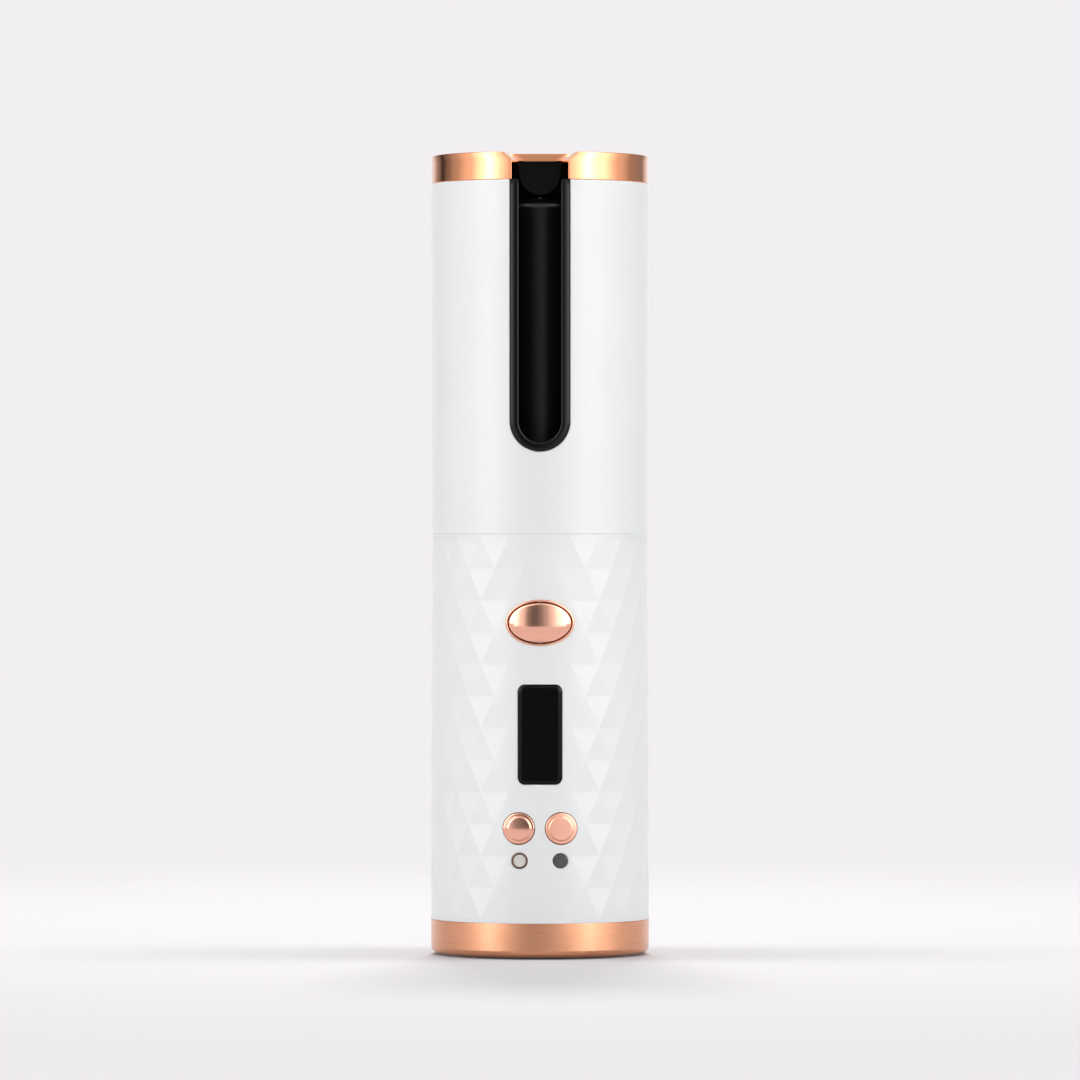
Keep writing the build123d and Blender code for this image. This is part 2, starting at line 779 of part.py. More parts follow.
def driven_gear():
    body = Pos(0, 0, gear_bottom) * extrude(gear_outline(gear_teeth, pi / 2), gear_width)
    body += disc(gear_hub_radius, bush_top + thrust_gap, gear_top + gear_hub_height)
    body -= disc(shaft_radius, deck_top, gear_top + gear_hub_height)
    body -= gear_pin()
    return body - home_magnet()


def home_magnet():
    return disc(magnet_diameter / 2, gear_bottom, gear_bottom + magnet_length, 0, -magnet_radius)


def shaft_bush():
    body = disc(bush_radius, bush_bottom, deck_top)
    body += disc(bush_radius + bush_flange, deck_top, bush_top)
    return body - disc(shaft_radius + running_gap, bush_bottom, bush_top)


def motor_pinion():
    teeth = extrude(gear_outline(pinion_teeth, -pi / 2 + pi / pinion_teeth), pinion_width)
    body = Pos(0, motor_back, pinion_bottom) * teeth
    body += disc(pinion_hub_radius, pinion_foot, pinion_top, 0, motor_back)
    return body - disc(gearbox_shaft_diameter / 2, pinion_foot, pinion_top, 0, motor_back)


def gearbox_shaft():
    return disc(gearbox_shaft_diameter / 2, deck_bottom - gearbox_shaft_depth, pinion_top, 0, motor_back)


def gearbox():
    bottom = deck_bottom - gearbox_length
    body = disc(motor_diameter / 2, bottom, deck_bottom, 0, motor_back)
    body += disc(gearbox_pilot_radius, deck_bottom, deck_top, 0, motor_back)
    bore = gearbox_shaft_diameter / 2 + running_gap
    bore_bottom = deck_bottom - gearbox_shaft_depth - gearbox_bore_room
    body -= disc(bore, bore_bottom, deck_top, 0, motor_back)
    for side in (-1, 1):
        x = side * motor_screw_offset
        body -= disc(screw_shank / 2, deck_bottom - motor_screw_depth, deck_bottom, x, motor_back)
    return body


def motor_can():
    top = deck_bottom - gearbox_length
    body = disc(motor_diameter / 2 - motor_step, top - motor_length, top, 0, motor_back)
    low = body.edges().group_by(Axis.Z)[0]
    return fillet(low, motor_edge_radius)


def motor_screws():
    one = screw(motor_screw_head / 2, deck_thickness + motor_screw_depth, head_height=motor_screw_head_height)
    return [Pos(side * motor_screw_offset, motor_back, deck_top) * one for side in (-1, 1)]


def drive_deck():
    body = disc(spigot_radius, deck_bottom, deck_top)
    body += disc(bush_radius + deck_collar_wall, bush_bottom, deck_bottom)
    body -= disc(bush_radius, bush_bottom, deck_top)
    body -= disc(gearbox_pilot_radius + fit_gap, deck_bottom, deck_top, 0, motor_back)
    for side in (-1, 1):
        body -= disc(screw_shank / 2, deck_bottom, deck_top, side * motor_screw_offset, motor_back)
    for angle in deck_screw_angles:
        x, y = around(angle, deck_screw_circle)
        body -= disc(screw_shank / 2, deck_bottom, deck_top, x, y)
    notch = lead_diameter * deck_slot_leads / 2
    half = deck_slot_length / 2
    return body - block(lead_drop_x - notch, lead_drop_x + notch, -half, half, deck_bottom, deck_top)


def deck_screws():
    one = screw(screw_head / 2, deck_thickness + deck_screw_bite)
    return [Pos(*around(angle, deck_screw_circle), deck_top) * one for angle in deck_screw_angles]


def sensor_board():
    face = deck_top + sensor_board_thickness
    half = sensor_board_width / 2
    front = -magnet_radius - sensor_board_front
    body = block(-half, half, front, sensor_board_back - magnet_radius, deck_top, face)
    half = sensor_width / 2
    front = -magnet_radius - sensor_depth / 2
    return body + block(-half, half, front, front + sensor_depth, face, gear_bottom - sensor_gap)


def bottom_ring():
    outer = disc(bottom_ring_radius, floor_gap, bottom_ring_top)
    low = outer.edges().group_by(Axis.Z)[0]
    body = fillet(low, bottom_ring_edge_radius)
    body -= disc(bottom_ring_bore, base_plate_seat, bottom_ring_top)
    return body - disc(bottom_flange_radius, floor_gap, base_plate_seat)


def base_plate():
    body = disc(bottom_ring_bore - fit_gap, base_plate_seat, base_plate_top)
    body += disc(bottom_flange_radius - fit_gap, base_plate_bottom, base_plate_seat)
    body -= tube(foot_outer, foot_inner, base_plate_bottom, base_plate_bottom + foot_seat)
    for angle in leg_angles:
        x, y = around(angle, leg_circle)
        body -= disc(screw_head / 2 + fit_gap, base_plate_bottom, base_plate_bottom + screw_head_height, x, y)
        body -= disc(screw_shank / 2, base_plate_bottom, base_plate_top, x, y)
    opening = extrude(socket_outline(socket_play), base_plate_top - base_plate_bottom)
    body -= Pos(0, 0, base_plate_bottom) * opening
    for side in (-1, 1):
        for end in (-1, 1):
            x = side * charge_post_x
            y = end * charge_post_y
            pin_top = charge_board_height + charge_board_thickness + charge_pin_rise
            body += disc(charge_post_radius, base_plate_top, charge_board_height, x, y)
            body += disc(charge_pin_radius, charge_board_height, pin_top, x, y)
    return body


def socket_outline(grow=0.0):
    corner = 0.497 * (socket_thickness + 2 * grow)  # just under half, so that a flat stays between the ends
    return RectangleRounded(socket_width + 2 * grow, socket_thickness + 2 * grow, corner)


def base_screws():
    length = base_plate_top - base_plate_bottom - screw_head_height + leg_screw_bite
    one = Rot(180, 0, 0) * screw(screw_head / 2, length)
    height = base_plate_bottom + screw_head_height
    return [Pos(*around(angle, leg_circle), height) * one for angle in leg_angles]


def foot_ring():
    body = tube(foot_outer, foot_inner, 0, base_plate_bottom + foot_seat)
    low = body.edges().group_by(Axis.Z)[0]
    return fillet(low, foot_edge_radius)


def usb_socket():
    bottom = base_plate_bottom + socket_recess
    height = charge_board_height - bottom
    outer = Pos(0, 0, bottom) * extrude(socket_outline(), height)
    inner = Pos(0, 0, bottom) * extrude(socket_outline(-socket_wall), height - socket_floor)
    half_width = tongue_width / 2
    half_depth = tongue_thickness / 2
    tongue_top = charge_board_height - tongue_seat
    tongue = block(-half_width, half_width, -half_depth, half_depth, bottom + tongue_recess, tongue_top)
    return outer - inner + tongue


def charge_board():
    top = charge_board_height + charge_board_thickness
    half_width = charge_board_width / 2
    half_depth = charge_board_depth / 2
    body = block(-half_width, half_width, -half_depth, half_depth, charge_board_height, top)
    for side in (-1, 1):
        for end in (-1, 1):
            body -= disc(charge_pin_radius, charge_board_height, top, side * charge_post_x, end * charge_post_y)
    return body


def cell_cradle():
    body = disc(cradle_radius, cradle_floor_height, cradle_floor_top)
    middle = (cradle_floor_top + cradle_top) / 2
    body += disc(cradle_radius, cradle_top - cradle_wall, cradle_top)
    body += disc(cradle_radius, middle - cradle_wall / 2, middle + cradle_wall / 2)
    for side in (-1, 1):
        body += disc(cell_tube_radius, cradle_floor_top, cradle_top, side * cell_x, cell_back)
        for level in post_levels:
            body += front_rod(post_radius, board_back, cell_back, side * post_spread, level)
    rib_front = board_back + cradle_rib_front
    front = block(-body_radius, body_radius, -body_radius, rib_front, cradle_floor_height, cradle_top)
    for side in (-1, 1):
        for level in post_levels:
            front -= front_rod(post_radius, board_back, cell_back, side * post_spread, level)
    body -= front
    for side in (-1, 1):
        body -= disc(cell_tube_bore, cradle_floor_top, cradle_top, side * cell_x, cell_back)
        left = side * cell_x - cradle_window_width / 2
        low = post_levels[0] + cradle_window_inset
        high = post_levels[1] - cradle_window_inset
        body -= block(left, left + cradle_window_width, board_back, cell_back, low, high)
        for level in post_levels:
            end = board_back + post_bore_depth
            body -= front_rod(screw_shank / 2, board_back, end, side * post_spread, level)
    for link in cell_links():
        body -= link
    for angle in leg_angles:
        x, y = around(angle, leg_circle)
        body += disc(leg_radius, base_plate_top, cradle_floor_height, x, y)
        body -= disc(screw_shank / 2, base_plate_top, base_plate_top + leg_screw_bite + leg_bore_room, x, y)
    return body


def battery_cell(side):
    body = disc(cell_radius, cell_bottom, cell_top, side * cell_x, cell_back)
    ends = body.edges().filter_by(GeomType.CIRCLE)
    return fillet(ends, cell_edge_radius)


def cell_links():
    reach = cell_x + link_width / 2
    front = cell_back - link_width / 2
    back = cell_back + link_width / 2
    links = [block(-reach, reach, front, back, cradle_floor_top, cell_bottom)]
    for side in (-1, 1):
        low, high = sorted((side * (cell_x - link_width / 2), side * reach))
        links.append(block(low, high, front, back, cell_top, cell_top + link_thickness))
    return links


def main_board():
    half = board_width / 2
    body = block(-half, half, board_face, board_back, board_bottom, board_top)
    for side in (-1, 1):
        for level in post_levels:
            body -= front_rod(screw_shank / 2, board_face, board_back, side * post_spread, level)
    return body


def board_screws():
    length = board_thickness + board_screw_bite
    one = Rot(90, 0, 0) * screw(small_head / 2, length, head_height=board_screw_head_height)
    return [Pos(side * post_spread, board_face, level) * one for side in (-1, 1) for level in post_levels]


def display_window():
    front = window_drop - shell_radius(window_level)
    body = front_prism(window_outline(), front, flange_thickness - flange_front)
    edges = body.edges().group_by(Axis.Y)[0]
    face = body.faces().sort_by(Axis.Y)[0]
    body = chamfer(edges, window_bevel_depth, window_bevel, reference=face)
    return body + inner_flange(window_outline(panel_flange))


def display_outline(inset):
    width = window_width - display_play - 2 * inset
    height = window_height - display_play - 2 * inset
    return Pos(0, window_level) * Rectangle(width, height)


def display_module():
    return front_prism(display_outline(0), display_face, display_back)


def display_holder():
    return front_prism(display_outline(0) - display_outline(display_holder_wall), display_back, board_face)


def rocker_bezel():
    cutter = -body_radius - cut_margin
    body = front_prism(rocker_outline(), cutter, bezel_flange - flange_front)
    body &= disc(shell_radius(rocker_level) + bezel_proud, 0, body_height)
    body += inner_flange(rocker_outline(bezel_flange_reach), bezel_flange)
    body -= front_prism(rocker_outline(-bezel_wall), cutter, 0)
    return body - rocker_pin()


def rocker_pin():
    half = rocker_height / 2 + panel_flange
    return disc(rocker_pin_diameter / 2, rocker_level - half, rocker_level + half, 0, -rocker_pivot)


def rocker_button():
    crown = shell_radius(rocker_level) + rocker_proud
    body = front_prism(rocker_outline(rocker_rim), -crown - cut_margin, -rocker_back)
    body &= Pos(0, rocker_dome_radius - crown, rocker_level) * Sphere(rocker_dome_radius)
    for side in (-1, 1):
        x = side * rocker_switch_spread
        body += front_rod(rocker_pad_radius, -rocker_back, -rocker_back + rocker_pad, x, rocker_level)
    half = rocker_height / 2
    bore = rocker_pin_diameter / 2 + running_gap
    return body - disc(bore, rocker_level - half, rocker_level + half, 0, -rocker_pivot)


def rocker_plunger(side):
    x = side * rocker_switch_spread
    return front_rod(button_stem_radius, plunger_tip, switch_face + plunger_overlap, x, rocker_level)


def switch_housings():
    places = [(side * rocker_switch_spread, rocker_level) for side in (-1, 1)]
    places += [(side * button_spread, button_level) for side in (-1, 1)]
    half = switch_size / 2
    housings = []
    for x, z in places:
        body = block(x - half, x + half, switch_face, board_face, z - half, z + half)
        bore = front_rod(button_stem_radius + running_gap, switch_face, switch_face + switch_bore_depth, x, z)
        housings.append(body - bore)
    return housings


def round_button(side):
    x = side * button_spread
    hole = Pos(x, button_level)
    surface = sqrt(shell_radius(button_level) ** 2 - button_spread**2)
    step_face = -(surface + button_proud - button_step)
    flange_outside = flange_front - fit_gap
    flange_inside = flange_outside - flange_thickness
    body = front_prism(hole * Circle(button_radius), step_face, 0)
    body &= tube(body_radius + cut_margin, flange_inside, 0, body_height)
    face = front_rod(button_face_diameter / 2, -(surface + button_proud), step_face, x, button_level)
    rim = face.edges().group_by(Axis.Y)[0]
    body += fillet(rim, button_edge_radius)
    curved = tube(flange_outside, flange_inside, 0, body_height)
    body += front_prism(hole * Circle(button_radius + button_flange), -body_radius, 0) & curved
    stem_front = -flange_inside - button_stem_lap
    return body + front_rod(button_stem_radius, stem_front, switch_face + plunger_overlap, x, button_level)


def indicator_front():
    surface = sqrt(shell_radius(indicator_level) ** 2 - indicator_spread**2)
    return -surface - indicator_proud


def indicator_ring():
    front = indicator_front() - indicator_proud
    back = indicator_ring_back - inner_radius
    x = -indicator_spread
    body = front_rod(indicator_ring_diameter / 2, front, back, x, indicator_level)
    return body - front_rod(indicator_lens_diameter / 2, front, back, x, indicator_level)


def indicator_lens(side, diameter):
    return front_rod(diameter / 2, indicator_front(), -lens_back, side * indicator_spread, indicator_level)


def indicator_leds():
    low = indicator_level - led_depth / 2
    face = board_face - led_height
    lights = []
    for side in (-1, 1):
        left = side * indicator_spread - led_width / 2
        lights.append(block(left, left + led_width, face, board_face, low, low + led_depth))
    return lights


def lead(points, bend):
    """Insulated wire along straight runs joined by arcs."""
    path = FilletPolyline(*points, radius=bend)
    section = Plane(origin=path @ 0, z_dir=path % 0) * Circle(lead_diameter / 2)
    return sweep(section, path=path)


def heater_leads():
    wires = []
    across = floor_bottom - heater_lead_drop
    for side, end_x, drop in heater_lead_ends:
        y = side * lead_hole_y
        level = board_top - drop
        points = [
            (lead_hole_x, y, spreader_bottom),
            (lead_hole_x, y, across),
            (lead_drop_x, y, across),
            (lead_drop_x, y, level),
            (end_x, y, level),
            (end_x, board_back, level),
        ]
        wires.append(lead(points, heater_lead_bend))
    return wires


def motor_leads():
    top = deck_bottom - gearbox_length - motor_length
    level = cradle_top + motor_lead_rise
    wires = []
    for side in (-1, 1):
        x = side * motor_lead_spread
        points = [(x, motor_back, top), (x, motor_back, level), (x, board_back, level)]
        wires.append(lead(points, motor_lead_bend))
    return wires


def battery_leads():
    level = cradle_top + battery_lead_rise
    wires = []
    for side in (-1, 1):
        x = side * cell_x
        points = [(x, cell_back, cell_top + link_thickness), (x, cell_back, level), (x, board_back, level)]
        wires.append(lead(points, battery_lead_bend))
    return wires


def gather(solids):
    """One node made of several solids."""
    return Compound(children=[solid if isinstance(solid, Solid) else solid.solid() for solid in solids])


nodes = {
    "upper_shell": upper_shell(),
    "lower_shell": lower_shell(),
    "top_ring": top_ring(),
    "bottom_ring": bottom_ring(),
    "base_plate": base_plate(),
    "foot_ring": foot_ring(),
    "base_screws": gather(base_screws()),
    "chamber_liner": chamber_liner(),
    "drive_deck": drive_deck(),
    "deck_screws": gather(deck_screws()),
    "barrel": barrel(),
    "barrel_base": barrel_base(),
    "barrel_screws": gather(barrel_screws()),
    "barrel_bush": barrel_bush(),
    "heater_plates": gather([heater_plate(side) for side in (-1, 1)]),
    "heat_spreaders": gather([heat_spreader(side) for side in (-1, 1)]),
    "heat_shield": heat_shield(),
    "thermistor": thermistor(),
    "thermal_fuse": thermal_fuse(),
    "shaft_bush": shaft_bush(),
    "gearbox": gearbox(),
    "motor_can": motor_can(),
    "motor_screws": gather(motor_screws()),
    "sensor_board": sensor_board(),
    "cell_cradle": cell_cradle(),
    "battery_cell_left": battery_cell(-1),
    "battery_cell_right": battery_cell(1),
    "cell_links": gather(cell_links()),
    "main_board": main_board(),
    "board_screws": gather(board_screws()),
    "display_module": display_module(),
    "display_holder": display_holder(),
    "display_window": display_window(),
    "rocker_bezel": rocker_bezel(),
    "rocker_pin": rocker_pin(),
    "switch_housings": gather(switch_housings()),
    "charge_board": charge_board(),
    "usb_socket": usb_socket(),
    "indicator_ring": indicator_ring(),
    "indicator_lens_left": indicator_lens(-1, indicator_lens_diameter),
    "indicator_lens_right": indicator_lens(1, indicator_dark_diameter),
    "indicator_leds": gather(indicator_leds()),
    "heater_leads": gather(heater_leads()),
    "board_leads": gather(motor_leads() + battery_leads()),
    "rotor_hub": rotor_hub(),
    "rotor_disc": rotor_disc(),
    "rotor_screw": rotor_screw(),
    "drive_shaft": drive_shaft(),
    "driven_gear": driven_gear(),
    "gear_pin": gear_pin(),
    "home_magnet": home_magnet(),
    "retaining_ring": retaining_ring(),
    "motor_pinion": motor_pinion(),
    "gearbox_shaft": gearbox_shaft(),
    "rocker_button": rocker_button(),
    "rocker_plunger_left": rocker_plunger(-1),
    "rocker_plunger_right": rocker_plunger(1),
    "button_left": round_button(-1),
    "button_right": round_button(1),
}

os.makedirs("parts", exist_ok=True)
for name, shape in nodes.items():
    export_step(shape, f"parts/{name}.step")
print(len(nodes), "nodes")
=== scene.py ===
import json
import math

import bpy
import numpy as np
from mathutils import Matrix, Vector
from mathutils.geometry import delaunay_2d_cdt


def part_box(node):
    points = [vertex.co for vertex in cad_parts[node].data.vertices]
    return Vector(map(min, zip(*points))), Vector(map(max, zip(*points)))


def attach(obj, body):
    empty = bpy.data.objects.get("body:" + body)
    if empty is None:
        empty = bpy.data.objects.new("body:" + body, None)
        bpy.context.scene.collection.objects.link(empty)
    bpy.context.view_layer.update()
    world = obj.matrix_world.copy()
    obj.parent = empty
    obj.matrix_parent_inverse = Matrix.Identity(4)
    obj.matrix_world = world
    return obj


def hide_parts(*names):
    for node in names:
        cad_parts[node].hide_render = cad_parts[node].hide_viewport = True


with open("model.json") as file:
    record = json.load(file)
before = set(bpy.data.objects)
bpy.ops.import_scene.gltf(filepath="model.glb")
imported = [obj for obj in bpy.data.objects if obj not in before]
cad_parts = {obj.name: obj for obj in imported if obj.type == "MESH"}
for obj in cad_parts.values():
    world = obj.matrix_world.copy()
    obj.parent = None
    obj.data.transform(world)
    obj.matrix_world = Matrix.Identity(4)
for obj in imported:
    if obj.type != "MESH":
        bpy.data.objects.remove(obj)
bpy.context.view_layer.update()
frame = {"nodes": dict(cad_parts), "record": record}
scene = bpy.context.scene


def cadTop(node):  # height of a CAD node's top, in millimetres
    return np.float64(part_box(node)[1][2]) * 1000


print("frame loaded:", len(frame["nodes"]), "nodes")


def hexColour(code):  # sRGB hex to linear colour
    parts = [int(code[i : i + 2], 16) / 255 for i in (0, 2, 4)]
    return [c / 12.92 if c <= 0.04045 else ((c + 0.055) / 1.055) ** 2.4 for c in parts] + [1.0]


def addNode(tree, kind, settings=None, inputs=None):
    # one node: settings are its own values, inputs are numbers, colours or other nodes' outputs
    node = tree.nodes.new(kind)
    for key, value in (settings or {}).items():
        setattr(node, key, value)
    for key, value in (inputs or {}).items():
        if isinstance(value, bpy.types.NodeSocket):
            tree.links.new(value, node.inputs[key])
        else:
            node.inputs[key].default_value = value
    return node


def grain(tree, sizeMm, stretch=(1, 1, 1), detail=2.0):
    # noise whose blotches are about sizeMm across, and narrower along an axis whose stretch is over 1
    place = addNode(tree, "ShaderNodeTexCoord").outputs["Object"]
    scaled = addNode(tree, "ShaderNodeMapping", None, {"Vector": place, "Scale": stretch})
    settings = {"Vector": scaled.outputs[0], "Scale": 1000 / sizeMm, "Detail": detail}
    return addNode(tree, "ShaderNodeTexNoise", None, settings).outputs[0]


def surface(name, colour, roughness, sockets, tints=None, sheen=None, bump=None):
    # tints: grain and two colours; sheen: grain, lowest and highest roughness; bump: grain and depth in mm.
    # A grain is a size in mm, or a size, a stretch and a detail
    material = bpy.data.materials.new(name)
    material.use_nodes = True
    tree = material.node_tree
    shader = tree.nodes["Principled BSDF"]
    for key, value in {"Base Color": hexColour(colour), "Roughness": roughness, **sockets}.items():
        shader.inputs[key].default_value = value
    made = {}

    def noise(size):  # each grain is made once
        if size not in made:
            made[size] = grain(tree, *size) if isinstance(size, tuple) else grain(tree, size)
        return made[size]

    if tints:
        colours = {0: noise(tints[0]), 6: hexColour(tints[1]), 7: hexColour(tints[2])}
        mix = addNode(tree, "ShaderNodeMix", {"data_type": "RGBA"}, colours)
        tree.links.new(mix.outputs[2], shader.inputs["Base Color"])
    if sheen:
        limits = {"Value": noise(sheen[0]), "To Min": sheen[1], "To Max": sheen[2]}
        spread = addNode(tree, "ShaderNodeMapRange", None, limits)
        tree.links.new(spread.outputs[0], shader.inputs["Roughness"])
    if bump:
        depths = {"Height": noise(bump[0]), "Strength": 1.0, "Distance": bump[1] / 1000}
        relief = addNode(tree, "ShaderNodeBump", None, depths)
        tree.links.new(relief.outputs[0], shader.inputs["Normal"])
    return material


def platedPink(name, roughness):
    # ABS electroplated a pinker rose: bright, and as smooth as its mould
    sockets = {"Metallic": 1.0, "Coat Weight": 0.25, "Coat Roughness": roughness}
    sheen = (3, roughness * 0.8, roughness * 1.2)
    return surface(name, "F5B79E", roughness, sockets, (9, "F3B49A", "F7BCA4"), sheen, (2.4, 0.0006))


def tintedAcrylic(name, colour, roughness=0.06, shine=0.5):
    # cast acrylic tinted from behind: glass-smooth, with a clear reflection
    sockets = {"IOR": 1.49, "Specular IOR Level": shine}
    sheen = (6, roughness * 0.7, roughness * 1.4)
    return surface(name, colour, roughness, sockets, None, sheen, (5, 0.0005))


def sparkedPlastic(name, colour, grainMm=0.4, roughness=0.6):
    # plastic from a spark-eroded mould: a fine even matt grain
    grains = (grainMm, (1, 1, 1), 3.0)
    sheen = (grains, roughness - 0.08, roughness + 0.08)
    return surface(name, colour, roughness, {"IOR": 1.5}, None, sheen, (grains, 0.012))


def turnedMetal(name, colour, roughness=0.28):
    # plain turned or rolled metal: bright, with fine tool marks
    marks = (1.5, (1, 1, 12), 3.0)
    sheen = (marks, roughness - 0.08, roughness + 0.1)
    return surface(name, colour, roughness, {"Metallic": 1.0}, None, sheen, (marks, 0.003))


# white ABS from a polished mould: even colour, a soft broad sheen and a barely wavy skin
mouldedAbs = surface(
    "mouldedAbsWhite", "F0F2F3", 0.36, {"IOR": 1.53, "Coat Weight": 0.2, "Coat Roughness": 0.25},
    (14, "ECF0F0", "F1F3F3"), (5, 0.33, 0.40), (1.6, 0.002),
)
# ABS electroplated rose gold and left bright: mirror reflections, with a faint haze where it is handled
platedRoseGold = surface(
    "platedRoseGoldPolished", "E0966C", 0.1, {"Metallic": 1.0, "Coat Weight": 0.3, "Coat Roughness": 0.1},
    (20, "DE946A", "E29A72"), (3, 0.07, 0.13), (2.4, 0.0008),
)
# ABS electroplated rose gold over a fine turned texture: long soft highlights, hairlines round the ring
hairlines = (6, (1, 1, 30), 3.0)  # 0.2 mm apart up the ring
brushedRoseGold = surface(
    "platedRoseGoldSatin", "DFA07C", 0.26, {"Metallic": 1.0, "Coat Weight": 0.15, "Coat Roughness": 0.2},
    (hairlines, "DB9B76", "E3A582"), (hairlines, 0.22, 0.3), (hairlines, 0.002),
)
# black PPS from a polished mould: near-black, with one tight highlight along each round edge
glossyPps = surface(
    "mouldedPpsBlack", "050506", 0.18, {"IOR": 1.45, "Specular IOR Level": 0.3},
    None, (4, 0.15, 0.23), (1.2, 0.001),
)
# aluminium tube sprayed with black ceramic enamel: dark and smooth, with a silky highlight down its length
specks = (0.35, (1, 1, 1), 4.0)
ceramicEnamel = surface(
    "ceramicEnamelBlack", "0C0C0D", 0.32, {"IOR": 1.5},
    (specks, "09090A", "111113"), (2.5, 0.28, 0.38), (specks, 0.004),
)
# moulded silicone rubber: matt and dusty, a little lighter where it is worn
mouldedRubber = surface(
    "mouldedRubberGrey", "2B2B2C", 0.8, {"IOR": 1.45},
    (3, "262627", "353536"), None, ((0.4, (1, 1, 1), 3.0), 0.012),
)
# polycarbonate light pipe with a frosted face: milky, with a soft sheen
frostedPolycarbonate = surface(
    "frostedPolycarbonate", "D9D8D2", 0.4, {"IOR": 1.58}, (0.8, "D2D1CA", "DEDDD8"), None, (0.5, 0.002),
)
# glass-fibre board under green solder mask: a weave that barely shows and a waxy gloss
solderMask = surface(
    "solderMaskGreen", "14502A", 0.4, {"IOR": 1.5}, (1.2, "124A27", "1A5C31"), None, (0.6, 0.006),
)

slotMaterials = {
    "shell_white": mouldedAbs,
    "rose_gold_polished": platedRoseGold,
    "rose_gold_satin": brushedRoseGold,
    "base_black": sparkedPlastic("sparkedAbsBlack", "1C1C1D"),
    "foot_rubber": mouldedRubber,
    "liner_black": glossyPps,
    "barrel_ceramic": ceramicEnamel,
    "heat_plastic": sparkedPlastic("mouldedPeekBrown", "3A342C"),
    "frame_grey": sparkedPlastic("mouldedNylonGrey", "4A4B4D"),
    "heater_ceramic": sparkedPlastic("wrappedHeaterIvory", "CFCBBE", 1.0),
    "heat_aluminium": turnedMetal("extrudedAluminium", "C9CACC"),
    "sensor_glass": tintedAcrylic("glassBeadAmber", "B87A2A"),
    "fuse_metal": turnedMetal("drawnTinplate", "C4C1B6"),
    "steel": turnedMetal("turnedSteel", "B9BABC"),
    "bush_bronze": turnedMetal("sinteredBronze", "B58B52", 0.4),
    "gear_plastic": sparkedPlastic("mouldedAcetalNatural", "DEDCD2", 0.8, 0.4),
    "magnet": turnedMetal("platedMagnet", "C6C6C6", 0.2),
    "board_green": solderMask,
    "cell_wrap": sparkedPlastic("shrinkWrapBlue", "2A5C94", 1.5, 0.35),
    "nickel": turnedMetal("rolledNickel", "C8C5BC"),
    "display_black": tintedAcrylic("tintedAcrylicBlack", "030304", shine=0.2),
    "display_glass": tintedAcrylic("displayGlass", "3B443E"),
    "switch_black": sparkedPlastic("mouldedNylonBlack", "202021"),
    "plunger_white": sparkedPlastic("mouldedAcetalWhite", "DADAD6", 0.8, 0.4),
    "indicator_rim": turnedMetal("platedRimBrown", "6E564C", 0.3),
    "indicator_clear": frostedPolycarbonate,
    "indicator_dark": tintedAcrylic("tintedAcrylicGrey", "505052", 0.2),
    "led_yellow": sparkedPlastic("lightPhosphor", "D8C56A", 0.5),
    "lead_red": sparkedPlastic("siliconeLeadRed", "7A1A16", 0.8, 0.45),
    "lead_black": sparkedPlastic("siliconeLeadBlack", "1B1B1C", 0.8, 0.45),
}
for part in frame["record"]["subparts"]:
    mesh = frame["nodes"][part["node"]].data
    mesh.materials.clear()
    mesh.materials.append(slotMaterials[part["material_slot"]])
pinkPlating = platedPink("platedRosePolished", 0.1)
pinkSatin = platedPink("platedRoseSatin", 0.34)
print("materials:", len(slotMaterials))


def pointOut(piece):  # turns a closed mesh the right way out, by the sign of its volume
    mesh = piece.data
    mesh.calc_loop_triangles()
    corners = np.zeros(len(mesh.vertices) * 3)
    mesh.vertices.foreach_get("co", corners)
    triangles = np.zeros(len(mesh.loop_triangles) * 3, int)
    mesh.loop_triangles.foreach_get("vertices", triangles)
    a, b, c = corners.reshape(-1, 3)[triangles.reshape(-1, 3)].transpose(1, 0, 2)
    if np.einsum("ij,ij->i", a, np.cross(b, c)).sum() < 0:
        mesh.flip_normals()


def makePiece(name, points, faces, slot, body, replaces=(), normals=None):
    # closed mesh: points in millimetres, faces as lists of point numbers. Where normals are given point by
    # point, its faces already point outwards
    mesh = bpy.data.meshes.new(name)
    mesh.from_pydata((np.asarray(points) / 1000).tolist(), [], faces)
    mesh.polygons.foreach_set("use_smooth", [True] * len(mesh.polygons))
    if normals is not None:
        mesh.normals_split_custom_set_from_vertices(np.asarray(normals).tolist())
    mesh.materials.append(slotMaterials[slot])
    piece = bpy.data.objects.new(name, mesh)
    scene.collection.objects.link(piece)
    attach(piece, body)
    if replaces:
        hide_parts(*replaces)
    if normals is None:
        pointOut(piece)
    return piece


def softenEdges(piece, widthMm, angle=32, segments=3):
    # a small round on every edge sharper than angle, with flat faces kept flat
    bevel = piece.modifiers.new("edgeRound", "BEVEL")
    bevel.width = widthMm / 1000
    bevel.segments = segments
    bevel.limit_method = "ANGLE"
    bevel.angle_limit = math.radians(angle)
    piece.modifiers.new("flatFaces", "WEIGHTED_NORMAL")


def gridFaces(rows, columns):
    # quads between rows of points, each row running round the piece
    r, c = np.meshgrid(np.arange(rows - 1), np.arange(columns), indexing="ij")
    here = r * columns + c
    beside = r * columns + (c + 1) % columns
    return np.stack([here, beside, beside + columns, here + columns], -1).reshape(-1, 4)


def joinPoints(points, faces):
    # points at the same place become one point, and faces that shrink to a line go
    first, back = np.unique(np.round(points, 4) + 0.0, True, True, axis=0)[1:]
    rings = [list(dict.fromkeys(ring)) for ring in (back.ravel()[face].tolist() for face in faces)]
    return points[first], [ring for ring in rings if len(ring) > 2]


def roundAxis(radius, angle, z):  # points round the axis, by the angle from the front towards the right
    return np.stack([radius * np.sin(angle), -radius * np.cos(angle), z + 0 * angle], -1)


def onFront(x, z, radius):  # points on the front half of a tube of this radius
    return np.stack([x, -np.sqrt(radius**2 - x**2), z], -1)


